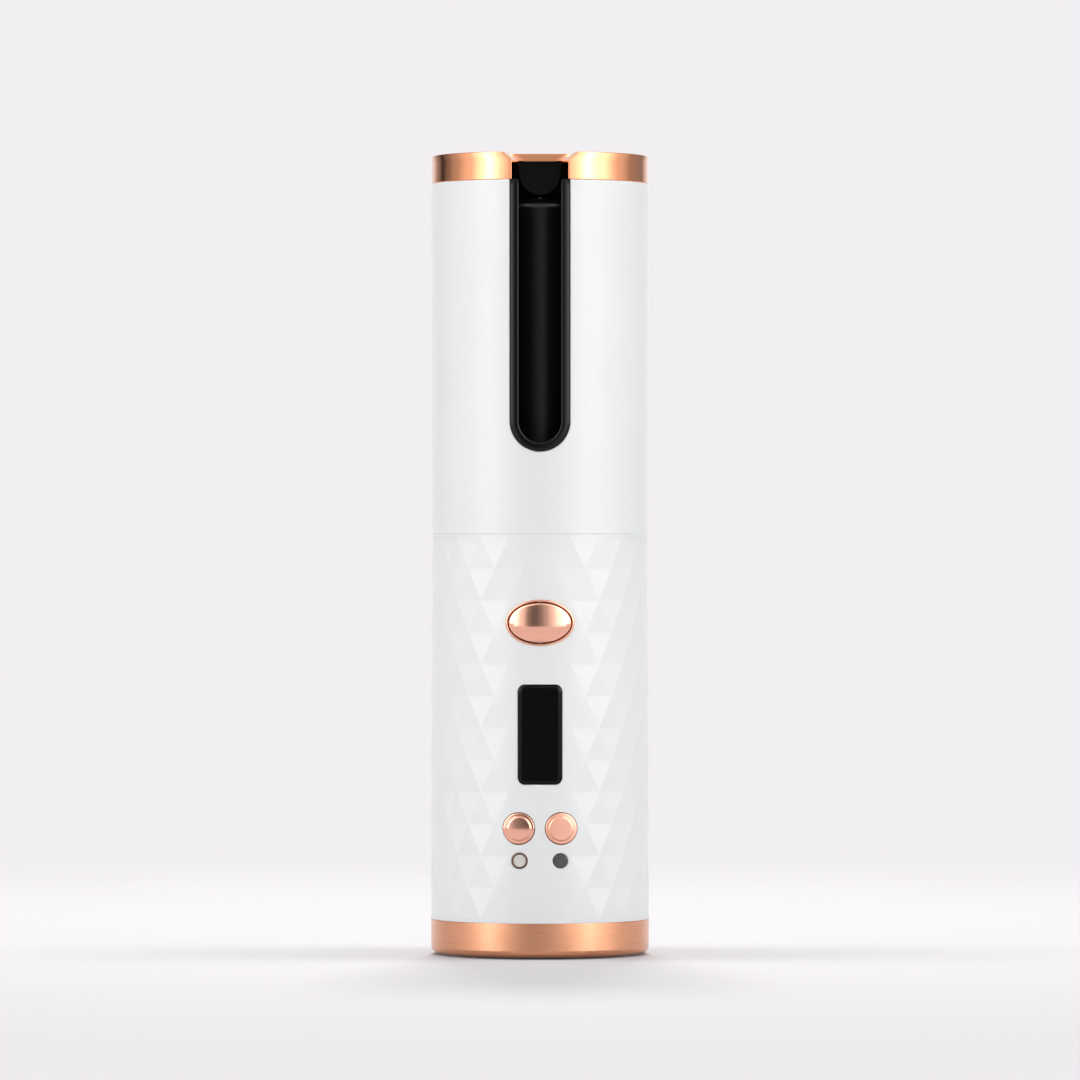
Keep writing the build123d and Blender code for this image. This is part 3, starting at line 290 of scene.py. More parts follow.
def ringFaces(rows, columns):  # quads between rows of points that close both ways
    ids = np.arange(rows * columns).reshape(rows, columns)
    after = np.roll(ids, -1, 0)
    return np.stack([ids, np.roll(ids, -1, 1), np.roll(after, -1, 1), after], -1).reshape(-1, 4)


def turned(name, profile, slot, body, replaces=(), count=192, centre=(0, 0, 0), alongY=False, soften=0):
    # closed profile of distance from the axis and height, carried round the axis; distance 0 makes a pole
    profile = np.asarray(profile, float)
    t = np.linspace(0, 2 * math.pi, count, endpoint=False)
    r, h = profile[:, :1], profile[:, 1:]
    points = np.stack([r * np.cos(t), r * np.sin(t), h + 0 * t], -1).reshape(-1, 3)
    if alongY:  # height then runs towards the front
        points = np.stack([points[:, 0], -points[:, 2], points[:, 1]], -1)
    points, faces = joinPoints(points + np.asarray(centre, float), ringFaces(len(profile), count))
    piece = makePiece(name, points, faces, slot, body, replaces)
    if soften:
        softenEdges(piece, soften)
    return piece


def arc(middle, radius, start, end, steps=6):  # points on a circle, angles in degrees
    t = np.radians(np.linspace(start, end, steps + 1))
    return np.stack([middle[0] + radius * np.cos(t), middle[1] + radius * np.sin(t)], -1)


def freeLoops(faces):
    # the open edges of a surface, walked into closed loops of point numbers
    edges = {(a, b) for face in faces for a, b in zip(face, face[1:] + face[:1])}
    onward = {b: a for a, b in edges if (b, a) not in edges}
    loops = []
    while onward:
        start, here = onward.popitem()
        loop = [start]
        while here != start:
            loop.append(here)
            here = onward.pop(here)
        loops.append(loop)
    return loops


def inside(points, outline):  # even-odd rule for all points at once
    x, y = points[:, None, 0], points[:, None, 1]
    ax, ay = outline[:, 0], outline[:, 1]
    bx, by = np.roll(ax, -1), np.roll(ay, -1)
    crosses = (ay > y) != (by > y)
    at = ax + (y - ay) * (bx - ax) / np.where(by == ay, 1e-9, by - ay)
    return (crosses & (x < at)).sum(1) % 2 == 1


def fillRegion(outline, holes, inner):
    # flat triangles between an outline and its holes, by point numbers in the order outline, holes, inner
    loops = [outline] + holes
    starts = np.cumsum([0] + [len(loop) for loop in loops])
    counts = [np.arange(len(loop)) for loop in loops]
    edges = [np.stack([n, (n + 1) % len(n)], -1) + start for n, start in zip(counts, starts)]
    edges = np.concatenate(edges).tolist()
    points = np.concatenate(loops + [inner])
    result = delaunay_2d_cdt([Vector(p) for p in points], edges, [], 0, 1e-7)
    faces, source = result[2:4]
    faces = np.array([numbers[0] for numbers in source])[np.array(faces)]
    middle = points[faces].mean(1)
    keep = inside(middle, outline)
    for hole in holes:
        keep &= ~inside(middle, hole)
    a, b, c = points[faces].transpose(1, 0, 2)
    turn = (b[:, 0] - a[:, 0]) * (c[:, 1] - a[:, 1]) - (b[:, 1] - a[:, 1]) * (c[:, 0] - a[:, 0])
    sliver = 1e-4  # height over width of the thin triangles along the outline, which are dropped
    keep &= np.abs(turn) > sliver * ((b - a) ** 2).sum(1)
    faces[turn < 0] = faces[turn < 0][:, ::-1]
    return faces[keep]


def thicken(points, normals, faces, innerPlace, edgeRadius, steps=3):
    # gives an open skin its inner wall; each open edge rolls over a quarter circle of edgeRadius and runs in
    edges = np.array([pair for loop in freeLoops(faces) for pair in zip(loop[1:] + loop[:1], loop)])
    step = points[edges[:, 1]] - points[edges[:, 0]]
    step /= np.linalg.norm(step, axis=1, keepdims=True)
    along = np.zeros_like(points)
    np.add.at(along, edges[:, 0], step)
    np.add.at(along, edges[:, 1], step)
    rim = np.unique(edges)
    length = np.linalg.norm(along[rim], axis=1, keepdims=True)
    inward = np.cross(normals[rim], along[rim])
    inward /= np.linalg.norm(inward, axis=1, keepdims=True)
    # longer at corners, so that the edge stays parallel, but not at very sharp ones
    reach = inward * edgeRadius * 2 / np.maximum(length, 1.2)
    wall = innerPlace(points)
    points = points.copy()
    outerRim = points[rim].copy()
    points[rim] += reach
    sheets, sheetNormals, allFaces = [points], [normals], [list(f) for f in faces]
    place = np.zeros(len(points), int)
    place[rim] = np.arange(len(rim))
    previous, start = rim, len(points)
    for a in np.linspace(0, math.pi / 2, steps + 1)[1:]:
        sheets.append(outerRim + reach * (1 - math.sin(a)) - normals[rim] * edgeRadius * (1 - math.cos(a)))
        sheetNormals.append(normals[rim] * math.cos(a) - inward * math.sin(a))
        current = start + np.arange(len(rim))
        e0, e1 = place[edges[:, 0]], place[edges[:, 1]]
        allFaces += np.stack([previous[e1], previous[e0], current[e0], current[e1]], -1).tolist()
        previous, start = current, start + len(rim)
    sheets.append(wall)
    sheetNormals.append(-normals)
    e0, e1 = edges.T
    allFaces += np.stack([previous[place[e1]], previous[place[e0]], start + e0, start + e1], -1).tolist()
    allFaces += [[start + v for v in reversed(face)] for face in faces]
    return np.concatenate(sheets), np.concatenate(sheetNormals), allFaces


shellTop = cadTop("upper_shell")  # height of the joint between upper shell and top ring
shellSize = {
    "seamHeight": 107.4,
    "bottom": 9.1,
    "bottomRadius": 28.0,
    "seamRadius": 27.6,
    "topRadius": 27.9,
    "innerRadius": 25.4,
    "edgeRound": 0.22,
}


def lowerRadius(z):  # outer radius of the lower shell at a height
    share = (z - shellSize["bottom"]) / (shellSize["seamHeight"] - shellSize["bottom"])
    return shellSize["bottomRadius"] + (shellSize["seamRadius"] - shellSize["bottomRadius"]) * share


def upperRadius(z):  # outer radius of the upper shell at a height
    share = (z - shellSize["seamHeight"]) / (shellTop - shellSize["seamHeight"])
    return shellSize["seamRadius"] + (shellSize["topRadius"] - shellSize["seamRadius"]) * share


def radial(points):  # unit vectors straight out from the axis
    out = points * np.array([1, 1, 0])
    return out / np.linalg.norm(out, axis=-1, keepdims=True)


def onRadius(points, radius):  # the same directions from the axis, at another distance from it
    out = radial(points) * np.asarray(radius)[..., None]
    out[..., 2] = points[..., 2]
    return out


def onInnerWall(points):
    return onRadius(points, np.full(len(points), shellSize["innerRadius"]))


facets = {
    "columns": 22,
    "rows": 12,
    "bottom": 9.9,
    "top": 106.6,
    "edgeSoftness": 0.13,  # half the width of the soft strip along each ridge and valley
    "edgeSteps": 6,
    "bandAbove": (106.72, 107.0, 107.4),  # heights of the rows of points in the plain band above the facets
    "bandBelow": (9.78, 9.5, 9.1),
}
panel = {
    "spacing": 1.3,  # between the points that fill it
    "reachX": (-12, 12.1),
    "reachZ": (10.5, 106.3),
    "clearance": 0.5,  # from its inner points to its outline and its holes
    "straightTo": 0.46,  # angle from the front, in radians, up to which the wall behind runs straight back
    "blend": 0.3,
}
front = {
    "rockerLevel": 85.0,
    "rockerHalf": (8.7, 5.8),
    "windowLevel": 56.8,
    "windowSize": (11.3, 25.3),
    "windowCorner": 1.8,
    "buttonSpread": 5.35,
    "buttonLevel": 33.1,
    "buttonHole": 4.12,
    "lightSpread": 5.15,
    "lightLevel": 25.0,
    "lightHoles": (2.05, 1.95),
}


def ovalLoop(middle, halfX, halfZ, count=64):
    t = np.linspace(0, 2 * math.pi, count, endpoint=False)
    return np.stack([middle[0] + halfX * np.cos(t), middle[1] + halfZ * np.sin(t)], -1)


def roundedLoop(middle, width, height, corner, perCorner=8):
    turns = [(1, 1, 0), (-1, 1, 90), (-1, -1, 180), (1, -1, 270)]
    quarters = []
    for sx, sz, a in turns:
        centre = (middle[0] + sx * (width / 2 - corner), middle[1] + sz * (height / 2 - corner))
        quarters.append(arc(centre, corner, a, a + 90, perCorner))
    return np.concatenate(quarters)


def densify(loop, spacing):  # points added along a loop's long sides
    after = np.roll(loop, -1, 0)
    counts = np.maximum(1, np.ceil(np.linalg.norm(after - loop, axis=1) / spacing)).astype(int)
    sides = [p + (q - p) * np.arange(n)[:, None] / n for p, q, n in zip(loop, after, counts)]
    return np.concatenate(sides)


def makeLowerShell():
    # lattice of flat triangles, each drawn in a little so that soft strips join them; smooth panel in front
    columns, rows = facets["columns"], facets["rows"]
    rowHeight = (facets["top"] - facets["bottom"]) / rows
    row, step = np.meshgrid(np.arange(rows), np.arange(columns), indexing="ij")
    column = 2 * step + row % 2

    def corner(r, c):
        z = facets["top"] - r * rowHeight
        return roundAxis(lowerRadius(z), c * math.pi / columns, z)

    down = np.stack([corner(row, column), corner(row + 1, column + 1), corner(row, column + 2)], 2)
    up = np.stack([corner(row + 1, column + 1), corner(row + 1, column + 3), corner(row, column + 2)], 2)
    triangles = np.stack([down, up])  # kind, row, step, corner, xyz
    a, b, c = np.moveaxis(triangles, 3, 0)
    flat = np.cross(b - a, c - a)
    area = np.linalg.norm(flat, axis=-1, keepdims=True)
    flat = flat / area
    sides = np.stack([np.linalg.norm(p - q, axis=-1) for p, q in ((b, c), (c, a), (a, b))], -1)
    centre = (triangles * sides[..., None]).sum(3) / sides.sum(-1)[..., None]
    inradius = area / sides.sum(-1, keepdims=True)
    drawnIn = triangles + (centre[..., None, :] - triangles) * (facets["edgeSoftness"] / inradius)[..., None]
    normals = np.broadcast_to(flat[..., None, :], drawnIn.shape).copy()

    # the panel reaches 2 half pitches from the front at even rows, 1 at the first odd row, 3 at the others
    reach = np.where(np.arange(rows + 1) % 2 == 0, 2, 3)
    reach[1] = 1
    share = np.array([1 / 3, 2 / 3])[:, None, None]
    limit = reach[row] + (reach[row + 1] - reach[row]) * share
    middle = np.stack([column + 1, column + 2])
    smooth = np.abs((middle + columns) % (2 * columns) - columns) < limit
    drawnIn[smooth] = onRadius(drawnIn[smooth], lowerRadius(drawnIn[smooth][..., 2]))
    normals[smooth] = radial(drawnIn[smooth])

    number = np.arange(smooth.size * 3).reshape(2, rows, columns, 3)
    points, pointNormals = [drawnIn.reshape(-1, 3)], [normals.reshape(-1, 3)]
    total = number.size

    # points along the top edge of the first row and the bottom edge of the last, where the plain bands begin
    steps = facets["edgeSteps"]
    t = np.linspace(0, 1, steps + 1)[1:-1, None]
    chains = []
    for kind, r, first, last in ((0, 0, 0, 2), (1, rows - 1, 0, 1)):
        ends = drawnIn[kind, r]
        between = ends[:, None, first] + (ends[:, None, last] - ends[:, None, first]) * t
        betweenNormals = np.repeat(normals[kind, r][:, :1], steps - 1, 1)
        isSmooth = smooth[kind, r]
        between[isSmooth] = onRadius(between[isSmooth], lowerRadius(between[isSmooth][..., 2]))
        betweenNormals[isSmooth] = radial(between[isSmooth])
        ids = total + np.arange(columns * (steps - 1)).reshape(columns, -1)
        total += ids.size
        points.append(between.reshape(-1, 3))
        pointNormals.append(betweenNormals.reshape(-1, 3))
        chain = [number[kind, r, :, first, None], ids, number[kind, r, :, last, None]]
        chains.append(np.concatenate(chain, 1))

    ring = np.concatenate([chains[0][:, ::-1], number[0, 0, :, 1:2]], 1)
    faces = ring[~smooth[0, 0]].tolist()
    ring = np.concatenate([chains[1], number[1, -1, :, 2:]], 1)
    faces += ring[~smooth[1, -1]].tolist()
    faces += number[0, 1:][~smooth[0, 1:]].tolist()
    faces += number[1, :-1][~smooth[1, :-1]].tolist()

    def beside(kind, steps):  # the same band of triangles, steps further round
        return np.roll(number[kind], -steps, 1), np.roll(smooth[kind], -steps, 1)

    def strip(mine, mineSmooth, theirs, theirsSmooth, a, b, p, q):
        # fills the gap between my edge a to b and their edge p to q
        quad = np.stack([mine[..., b], mine[..., a], theirs[..., q], theirs[..., p]], -1)
        faces.extend(quad[~(mineSmooth & theirsSmooth)].tolist())

    strip(number[0], smooth[0], number[1], smooth[1], 1, 2, 2, 0)
    strip(number[0], smooth[0], *beside(1, -1), 0, 1, 1, 2)
    for r in range(1, rows):
        back = -1 if r % 2 == 0 else 0
        upper, upperSmooth = (x[r - 1] for x in beside(1, back))
        strip(number[0, r], smooth[0, r], upper, upperSmooth, 2, 0, 0, 1)

    def fan(*members):  # the small face round a lattice corner
        ids = np.stack([m[0] for m in members], -1)
        faces.extend(ids[~np.stack([m[1] for m in members], -1).all(-1)].tolist())

    def member(kind, r, shift, k):
        ids, isSmooth = beside(kind, shift)
        return ids[r, :, k], isSmooth[r]

    for r in range(1, rows):
        back = -1 if r % 2 == 0 else 0
        fan(
            member(0, r, 0, 0), member(1, r - 1, back, 0), member(0, r - 1, back, 1),
            member(1, r - 1, back - 1, 1), member(0, r, -1, 2), member(1, r, -1, 2),
        )
    fan(member(0, 0, 0, 0), member(0, 0, -1, 2), member(1, 0, -1, 2))
    fan(member(1, rows - 1, -1, 0), member(0, rows - 1, -1, 1), member(1, rows - 1, -2, 1))

    # plain bands above and below, in rows that start at the lattice's own edge points
    bands = ((chains[0], facets["bandAbove"], True), (chains[1], facets["bandBelow"], False))
    for chain, heights, isTop in bands:
        edge = chain.reshape(-1)
        start = np.concatenate(points)[edge]
        rings = [edge]
        for z in heights:
            spots = onRadius(start, lowerRadius(np.full(len(start), z)))
            spots[:, 2] = z
            points.append(spots)
            pointNormals.append(radial(spots))
            rings.append(total + np.arange(len(spots)))
            total += len(spots)
        for lower, upper in zip(rings[:-1], rings[1:]):
            quad = np.stack([lower, np.roll(lower, -1), np.roll(upper, -1), upper], -1)
            faces += (quad if isTop else quad[:, ::-1]).tolist()

    # the smooth panel fills what is left open in front, round the holes
    points, pointNormals = np.concatenate(points), np.concatenate(pointNormals)
    edge = next(loop for loop in freeLoops(faces) if points[loop][:, 1].max() < 0)
    window = roundedLoop((0, front["windowLevel"]), *front["windowSize"], front["windowCorner"])
    holes = [ovalLoop((0, front["rockerLevel"]), *front["rockerHalf"], 72), densify(window, 1.2)]
    for side in (-1, 1):
        middle = (side * front["buttonSpread"], front["buttonLevel"])
        holes.append(ovalLoop(middle, front["buttonHole"], front["buttonHole"], 48))
    for side, r in zip((-1, 1), front["lightHoles"]):
        holes.append(ovalLoop((side * front["lightSpread"], front["lightLevel"]), r, r, 32))

    def farFrom(loop):
        return np.linalg.norm(inner[:, None] - loop, axis=2).min(1) > panel["clearance"]

    gap = panel["spacing"]
    x, z = np.meshgrid(np.arange(*panel["reachX"], gap), np.arange(*panel["reachZ"], gap))
    inner = np.stack([x + gap / 2 * (np.arange(len(x)) % 2)[:, None], z], -1).reshape(-1, 2)
    outline = points[edge][:, ::2]
    clear = inside(inner, outline) & farFrom(densify(outline, 5))
    for hole in holes:
        clear &= ~inside(inner, hole) & farFrom(hole)
    inner = inner[clear]
    filled = fillRegion(outline, holes, inner)
    x, z = np.concatenate(holes + [inner]).T
    added = onFront(x, z, lowerRadius(z))
    ids = np.concatenate([edge, total + np.arange(len(added))])
    faces += ids[filled].tolist()
    points = np.concatenate([points, added])
    pointNormals = np.concatenate([pointNormals, radial(added)])

    def innerWall(p):  # straight back behind the panel, towards the axis elsewhere
        depth = np.sqrt(np.maximum(shellSize["innerRadius"] ** 2 - p[:, 0] ** 2, 0))
        straight = np.stack([p[:, 0], -depth, p[:, 2]], -1)
        angle = np.abs(np.arctan2(p[:, 0], -p[:, 1]))
        mix = np.clip((angle - panel["straightTo"]) / panel["blend"], 0, 1)[:, None]
        return onInnerWall(straight * (1 - mix) + onInnerWall(p) * mix)

    skin = thicken(points, pointNormals, faces, innerWall, shellSize["edgeRound"])
    makePiece("lowerShell", skin[0], skin[2], "shell_white", "housing", ["lower_shell"], skin[1])


makeLowerShell()
print("lower shell")

slot = {"half": 7.7, "bottom": 128.2, "lipWidth": 2.4, "lipHeight": 0.35, "columns": 150}


def slottedTube(radiusAt, half, bottom, top, base, columns):
    # rows of points round the axis from one edge of a U-shaped slot to the other; below it the rows close
    centre = bottom + half
    a = np.radians(np.linspace(0, 90, 19))
    below, above = np.linspace(base, bottom, 6)[:-1], np.linspace(centre, top, 16)[1:]
    z = np.concatenate([below, centre - half * np.cos(a), above])
    width = np.where(z >= centre, half, np.sqrt(np.maximum(half**2 - (centre - z) ** 2, 0)))
    width[z <= bottom + 1e-6] = 0
    radius = radiusAt(z)
    edge = np.arcsin(width / radius)[:, None]
    t = np.linspace(0, 1, columns + 1)[None]
    angle = edge + (2 * math.pi - 2 * edge) * t
    points = roundAxis(radius[:, None], angle, z[:, None])
    ids = np.arange(angle.size).reshape(angle.shape)
    ids[width == 0, -1] = ids[width == 0, 0]
    faces = np.stack([ids[:-1, :-1], ids[:-1, 1:], ids[1:, 1:], ids[1:, :-1]], -1).reshape(-1, 4)
    used, faces = np.unique(faces, return_inverse=True)
    return points.reshape(-1, 3)[used], faces.reshape(-1, 4).tolist()


def makeUpperShell():
    heights = slot["bottom"], shellTop, shellSize["seamHeight"]
    points, faces = slottedTube(upperRadius, slot["half"], *heights, slot["columns"])
    skin = thicken(points, radial(points), faces, onInnerWall, shellSize["edgeRound"])
    makePiece("upperShell", skin[0], skin[2], "shell_white", "housing", ["upper_shell"], skin[1])


makeUpperShell()

liner = {
    "outside": 25.3,
    "inside": 23.8,
    "floorTop": 125.0,
    "floorBottom": 123.0,
    "floorHole": 8.1,
    "columns": 120,
    "edgeRound": 0.1,
}


def makeLiner():
    half, bottom = slot["half"] - slot["lipWidth"], slot["bottom"] + slot["lipWidth"]

    def boreRadius(z):
        return np.full(len(z), liner["inside"])

    def outerWall(p):
        return onRadius(p, np.full(len(p), liner["outside"]))

    points, faces = slottedTube(boreRadius, half, bottom, shellTop, liner["floorTop"], liner["columns"])
    faces = [face[::-1] for face in faces]
    skin = thicken(points, -radial(points), faces, outerWall, liner["edgeRound"], 2)
    makePiece("chamberLiner", skin[0], skin[2], "liner_black", "housing", ["chamber_liner"], skin[1])
    hole, edge = liner["floorHole"], liner["outside"]
    low, high = liner["floorBottom"], liner["floorTop"]
    profile = [(hole, low), (edge, low), (edge, high), (hole, high)]
    turned("chamberFloor", profile, "liner_black", "housing", soften=0.15)


makeLiner()


def makeSlotLip():
    # rounded bead swept along the U; across it the height over the shell follows a flattened arch
    width = slot["lipWidth"]
    half, bottom = slot["half"] - width, slot["bottom"] + width
    a = np.radians(np.linspace(0, 180, 49))
    centre = bottom + half
    straight = np.linspace(shellTop, centre, 40)[:-1, None]
    right = np.concatenate([np.full_like(straight, half), straight], 1)
    bend = np.stack([half * np.cos(a), centre - half * np.sin(a)], -1)
    path = np.concatenate([right, bend, right[::-1] * [-1, 1]])
    rightWay, leftWay = (np.tile([x, 0.0], (len(straight), 1)) for x in (1.0, -1.0))
    outward = np.concatenate([rightWay, np.stack([np.cos(a), -np.sin(a)], -1), leftWay])
    t = np.radians(np.linspace(180, 0, 21))
    archRise = 0.75
    archX = width / 2 * (1 + np.sign(np.cos(t)) * np.abs(np.cos(t)) ** 0.8)
    archHeight = slot["lipHeight"] - archRise + archRise * np.sin(t) ** 0.75
    innerFoot, outerFoot = (0, -3.0), (width, -1.5)  # buried ends of the bead: on the liner, in the shell
    section = np.concatenate([[innerFoot], np.stack([archX, archHeight], -1), [outerFoot]])
    x, z = np.moveaxis(path[:, None] + outward[:, None] * section[None, :, :1], -1, 0)
    points = onFront(x, z, upperRadius(z) + section[None, :, 1])
    rows, columns = points.shape[:2]
    faces = gridFaces(rows, columns).tolist()
    faces += [list(range(columns)), list(range((rows - 1) * columns, rows * columns))[::-1]]
    lip = makePiece("slotLip", points.reshape(-1, 3), faces, "liner_black", "housing")
    softenEdges(lip, 0.08, 50, 2)


makeSlotLip()
print("upper shell and slot")

barrel = {"radius": 11.0, "bore": 9.5, "bottom": 127.0, "top": 192.6, "edge": 2.5, "hole": 4.0, "roof": 2.0}
ceiling = barrel["top"] - barrel["roof"]
profile = [(barrel["hole"], ceiling), (barrel["bore"], ceiling)]
profile += [(barrel["bore"], barrel["bottom"]), (barrel["radius"], barrel["bottom"])]
edgeMiddle = (barrel["radius"] - barrel["edge"], barrel["top"] - barrel["edge"])
profile += arc(edgeMiddle, barrel["edge"], 0, 90, 8).tolist()
profile += [(barrel["hole"], barrel["top"])]
turned("barrelTube", profile, "barrel_ceramic", "housing", ["barrel"], soften=0.05)
softenEdges(frame["nodes"]["rotor_hub"], 0.3, 40)
print("barrel")

topRing = {
    "radius": 27.7,
    "mouth": 21.5,
    "funnel": 24.2,
    "funnelDrop": 2.4,
    "funnelSlant": 2.25,  # how far the funnel comes in on its way down to the chamfer's level
    "spigotInside": 22.5,  # the spigot that sits inside the upper shell
    "spigotOutside": 23.7,
    "spigotDrop": 2.4,
    "notchOutside": 14.5,
    "notchInside": 10.9,
    "chamferRun": 2.3,
    "chamferDrop": 2.0,
}


def makeTopRing():
    # the ring's profile carried round from one wall of the notch to the other; the walls open at the top
    top = cadTop("top_ring")
    bevelStart = top - topRing["chamferDrop"]
    radius, mouth, funnel = topRing["radius"], topRing["mouth"], topRing["funnel"]
    spigotIn, spigotOut = topRing["spigotInside"], topRing["spigotOutside"]
    spigotEnd = shellTop - topRing["spigotDrop"]
    section = np.array([
        (spigotIn, spigotEnd), (spigotOut, spigotEnd), (spigotOut, shellTop), (radius, shellTop),
        (radius, bevelStart), (radius, top), (funnel, top),
        (funnel - topRing["funnelSlant"], bevelStart), (mouth, top - topRing["funnelDrop"]),
        (mouth, shellTop + 1.5), (spigotIn, shellTop + 0.5),
    ])
    slope = (topRing["notchOutside"] - topRing["notchInside"]) / 2 / (radius - mouth)
    half = topRing["notchOutside"] / 2 - (radius - section[:, 0]) * slope
    half += np.maximum(0, section[:, 1] - bevelStart) / topRing["chamferDrop"] * topRing["chamferRun"]
    edge = np.arcsin(half / section[:, 0])[:, None]
    t = np.linspace(0, 1, 181)[None]
    angle = edge + (2 * math.pi - 2 * edge) * t
    points = roundAxis(section[:, :1], angle, section[:, 1:])
    rows, columns = points.shape[:2]
    ids = np.arange(rows * columns).reshape(rows, columns)
    onward = np.roll(ids, -1, 0)
    faces = np.stack([ids[:, :-1], ids[:, 1:], onward[:, 1:], onward[:, :-1]], -1).reshape(-1, 4).tolist()
    for column, turn in ((0, 1), (-1, -1)):  # the notch's walls, each with its slanted part as its own face
        wall = ids[[0, 1, 2, 3, 4, 7, 8, 9, 10], column][::turn].tolist()
        slant = ids[[4, 5, 6, 7], column][::turn].tolist()
        faces += [wall, slant]
    ring = makePiece("topRing", points.reshape(-1, 3), faces, "rose_gold_polished", "housing", ["top_ring"])
    softenEdges(ring, 0.22)


makeTopRing()

bottomRing = {
    "radius": 27.85,
    "bottom": 0.4,
    "top": 9.1,
    "edge": 1.8,
    "wall": 1.2,
    "flange": 1.4,
    "flangeRadius": 24.4,
}
flangeTop = bottomRing["bottom"] + bottomRing["flange"]
boreRadius = bottomRing["radius"] - bottomRing["wall"]
profile = [(bottomRing["flangeRadius"], flangeTop), (bottomRing["flangeRadius"], bottomRing["bottom"])]
edgeMiddle = (bottomRing["radius"] - bottomRing["edge"], bottomRing["bottom"] + bottomRing["edge"])
profile += arc(edgeMiddle, bottomRing["edge"], -90, 0, 8).tolist()
profile += [(bottomRing["radius"], bottomRing["top"]), (boreRadius, bottomRing["top"])]
profile += [(boreRadius, flangeTop)]
turned("bottomRing", profile, "rose_gold_satin", "housing", ["bottom_ring"], count=256, soften=0.15)
print("rings")

rotorDisc = {"radius": 16.0, "bottom": 202.0, "top": 204.0, "cutTop": 14.5, "cutBottom": 15.3}


def makeRotorDisc():
    # disc whose front is cut off by a plane that slopes back towards the top
    rim = np.array([(0, 0), (1, 0), (1, 1), (0, 1)])  # share of the radius, share of the height
    z = rotorDisc["bottom"] + rim[:, 1] * (rotorDisc["top"] - rotorDisc["bottom"])
    cut = rotorDisc["cutBottom"] + rim[:, 1] * (rotorDisc["cutTop"] - rotorDisc["cutBottom"])
    edge = np.arccos(cut / rotorDisc["radius"])[:, None]
    flat = edge * np.linspace(-1, 1, 9)[None]
    bend = edge + (2 * math.pi - 2 * edge) * np.linspace(0, 1, 121)[None, 1:-1]
    angle = np.concatenate([flat, bend], 1)
    reach = np.concatenate([cut[:, None] / np.cos(flat), np.full_like(bend, rotorDisc["radius"])], 1)
    points = roundAxis(reach * rim[:, :1], angle, z[:, None])
    points, faces = joinPoints(points.reshape(-1, 3), gridFaces(*angle.shape))
    piece = makePiece("rotorDisc", points, faces, "rose_gold_polished", "rotor", ["rotor_disc"])
    softenEdges(piece, 0.2)


makeRotorDisc()
print("rotor disc")

rocker = {
    "bezelWall": 0.5,
    "bezelRadius": 27.99,
    "bezelDepth": 1.6,
    "gap": 0.22,
    "crown": 28.89,
    "dome": 17.0,  # radius of the ball it is part of
    "flatShare": 0.94,  # share of its half width where the rounded edge begins
    "edgeDrop": 0.45,
    "back": 25.2,
}


def makeBezel():
    # rounded wall swept round the oval; across it the height over the shell follows half a circle
    t = np.linspace(0, 2 * math.pi, 144, endpoint=False)
    hx, hz = front["rockerHalf"]
    oval = np.stack([hx * np.cos(t), hz * np.sin(t)], -1)
    inward = -np.stack([hz * np.cos(t), hx * np.sin(t)], -1)
    inward /= np.linalg.norm(inward, axis=1, keepdims=True)
    wall = rocker["bezelWall"]
    a = np.radians(np.linspace(180, 0, 11))
    crown = np.stack([wall / 2 + wall / 2 * np.cos(a), -wall / 2 + wall / 2 * np.sin(a)], -1)
    depth = rocker["bezelDepth"]
    section = np.concatenate([[(0, -depth)], crown, [(wall, -depth)]])
    x, z = np.moveaxis(oval[:, None] + inward[:, None] * section[None, :, :1], -1, 0)
    points = onFront(x, z + front["rockerLevel"], rocker["bezelRadius"] + section[None, :, 1])
    faces = ringFaces(*points.shape[:2]).tolist()
    points = points.reshape(-1, 3)
    piece = makePiece("rockerBezel", points, faces, "rose_gold_polished", "housing", ["rocker_bezel"])
    piece.data.materials[0] = pinkPlating


def makeRocker():
    # oval dome: part of a ball, with its edge rounded over into a straight skirt
    t = np.linspace(0, 2 * math.pi, 128, endpoint=False)
    hx, hz = (h - rocker["bezelWall"] - rocker["gap"] for h in front["rockerHalf"])
    flat = np.linspace(0, rocker["flatShare"], 18)
    a = np.radians(np.linspace(15, 90, 6))
    share = np.concatenate([flat, 1 - (1 - rocker["flatShare"]) * (1 - np.sin(a))])
    drop = np.concatenate([0 * flat, rocker["edgeDrop"] * (1 - np.cos(a))])
    x = hx * share[:, None] * np.cos(t)
    z = hz * share[:, None] * np.sin(t)
    depth = np.sqrt(rocker["dome"] ** 2 - x**2 - z**2)
    y = -(rocker["crown"] - rocker["dome"]) - depth + drop[:, None]
    skirt = np.stack([x[-1], 0 * t - rocker["back"], z[-1]], -1)
    back = np.stack([0 * t, 0 * t - rocker["back"], 0 * t], -1)
    points = np.concatenate([np.stack([x, y, z], -1), skirt[None], back[None]])
    points += [0, 0, front["rockerLevel"]]
    rows, columns = points.shape[:2]
    points, faces = joinPoints(points.reshape(-1, 3), gridFaces(rows, columns))
    piece = makePiece("rockerDome", points, faces, "rose_gold_polished", "rocker", ["rocker_button"])
    piece.data.materials[0] = pinkPlating
    softenEdges(piece, 0.05, 40, 2)


makeBezel()
makeRocker()

window = {
    "front": 27.71,
    "bevel": 0.9,
    "bevelDepth": 0.45,
    "back": 26.0,
    "play": 0.06,  # how much narrower it is than its hole
    "edgeInset": 0.12,
    "edgeRise": 0.1,
}


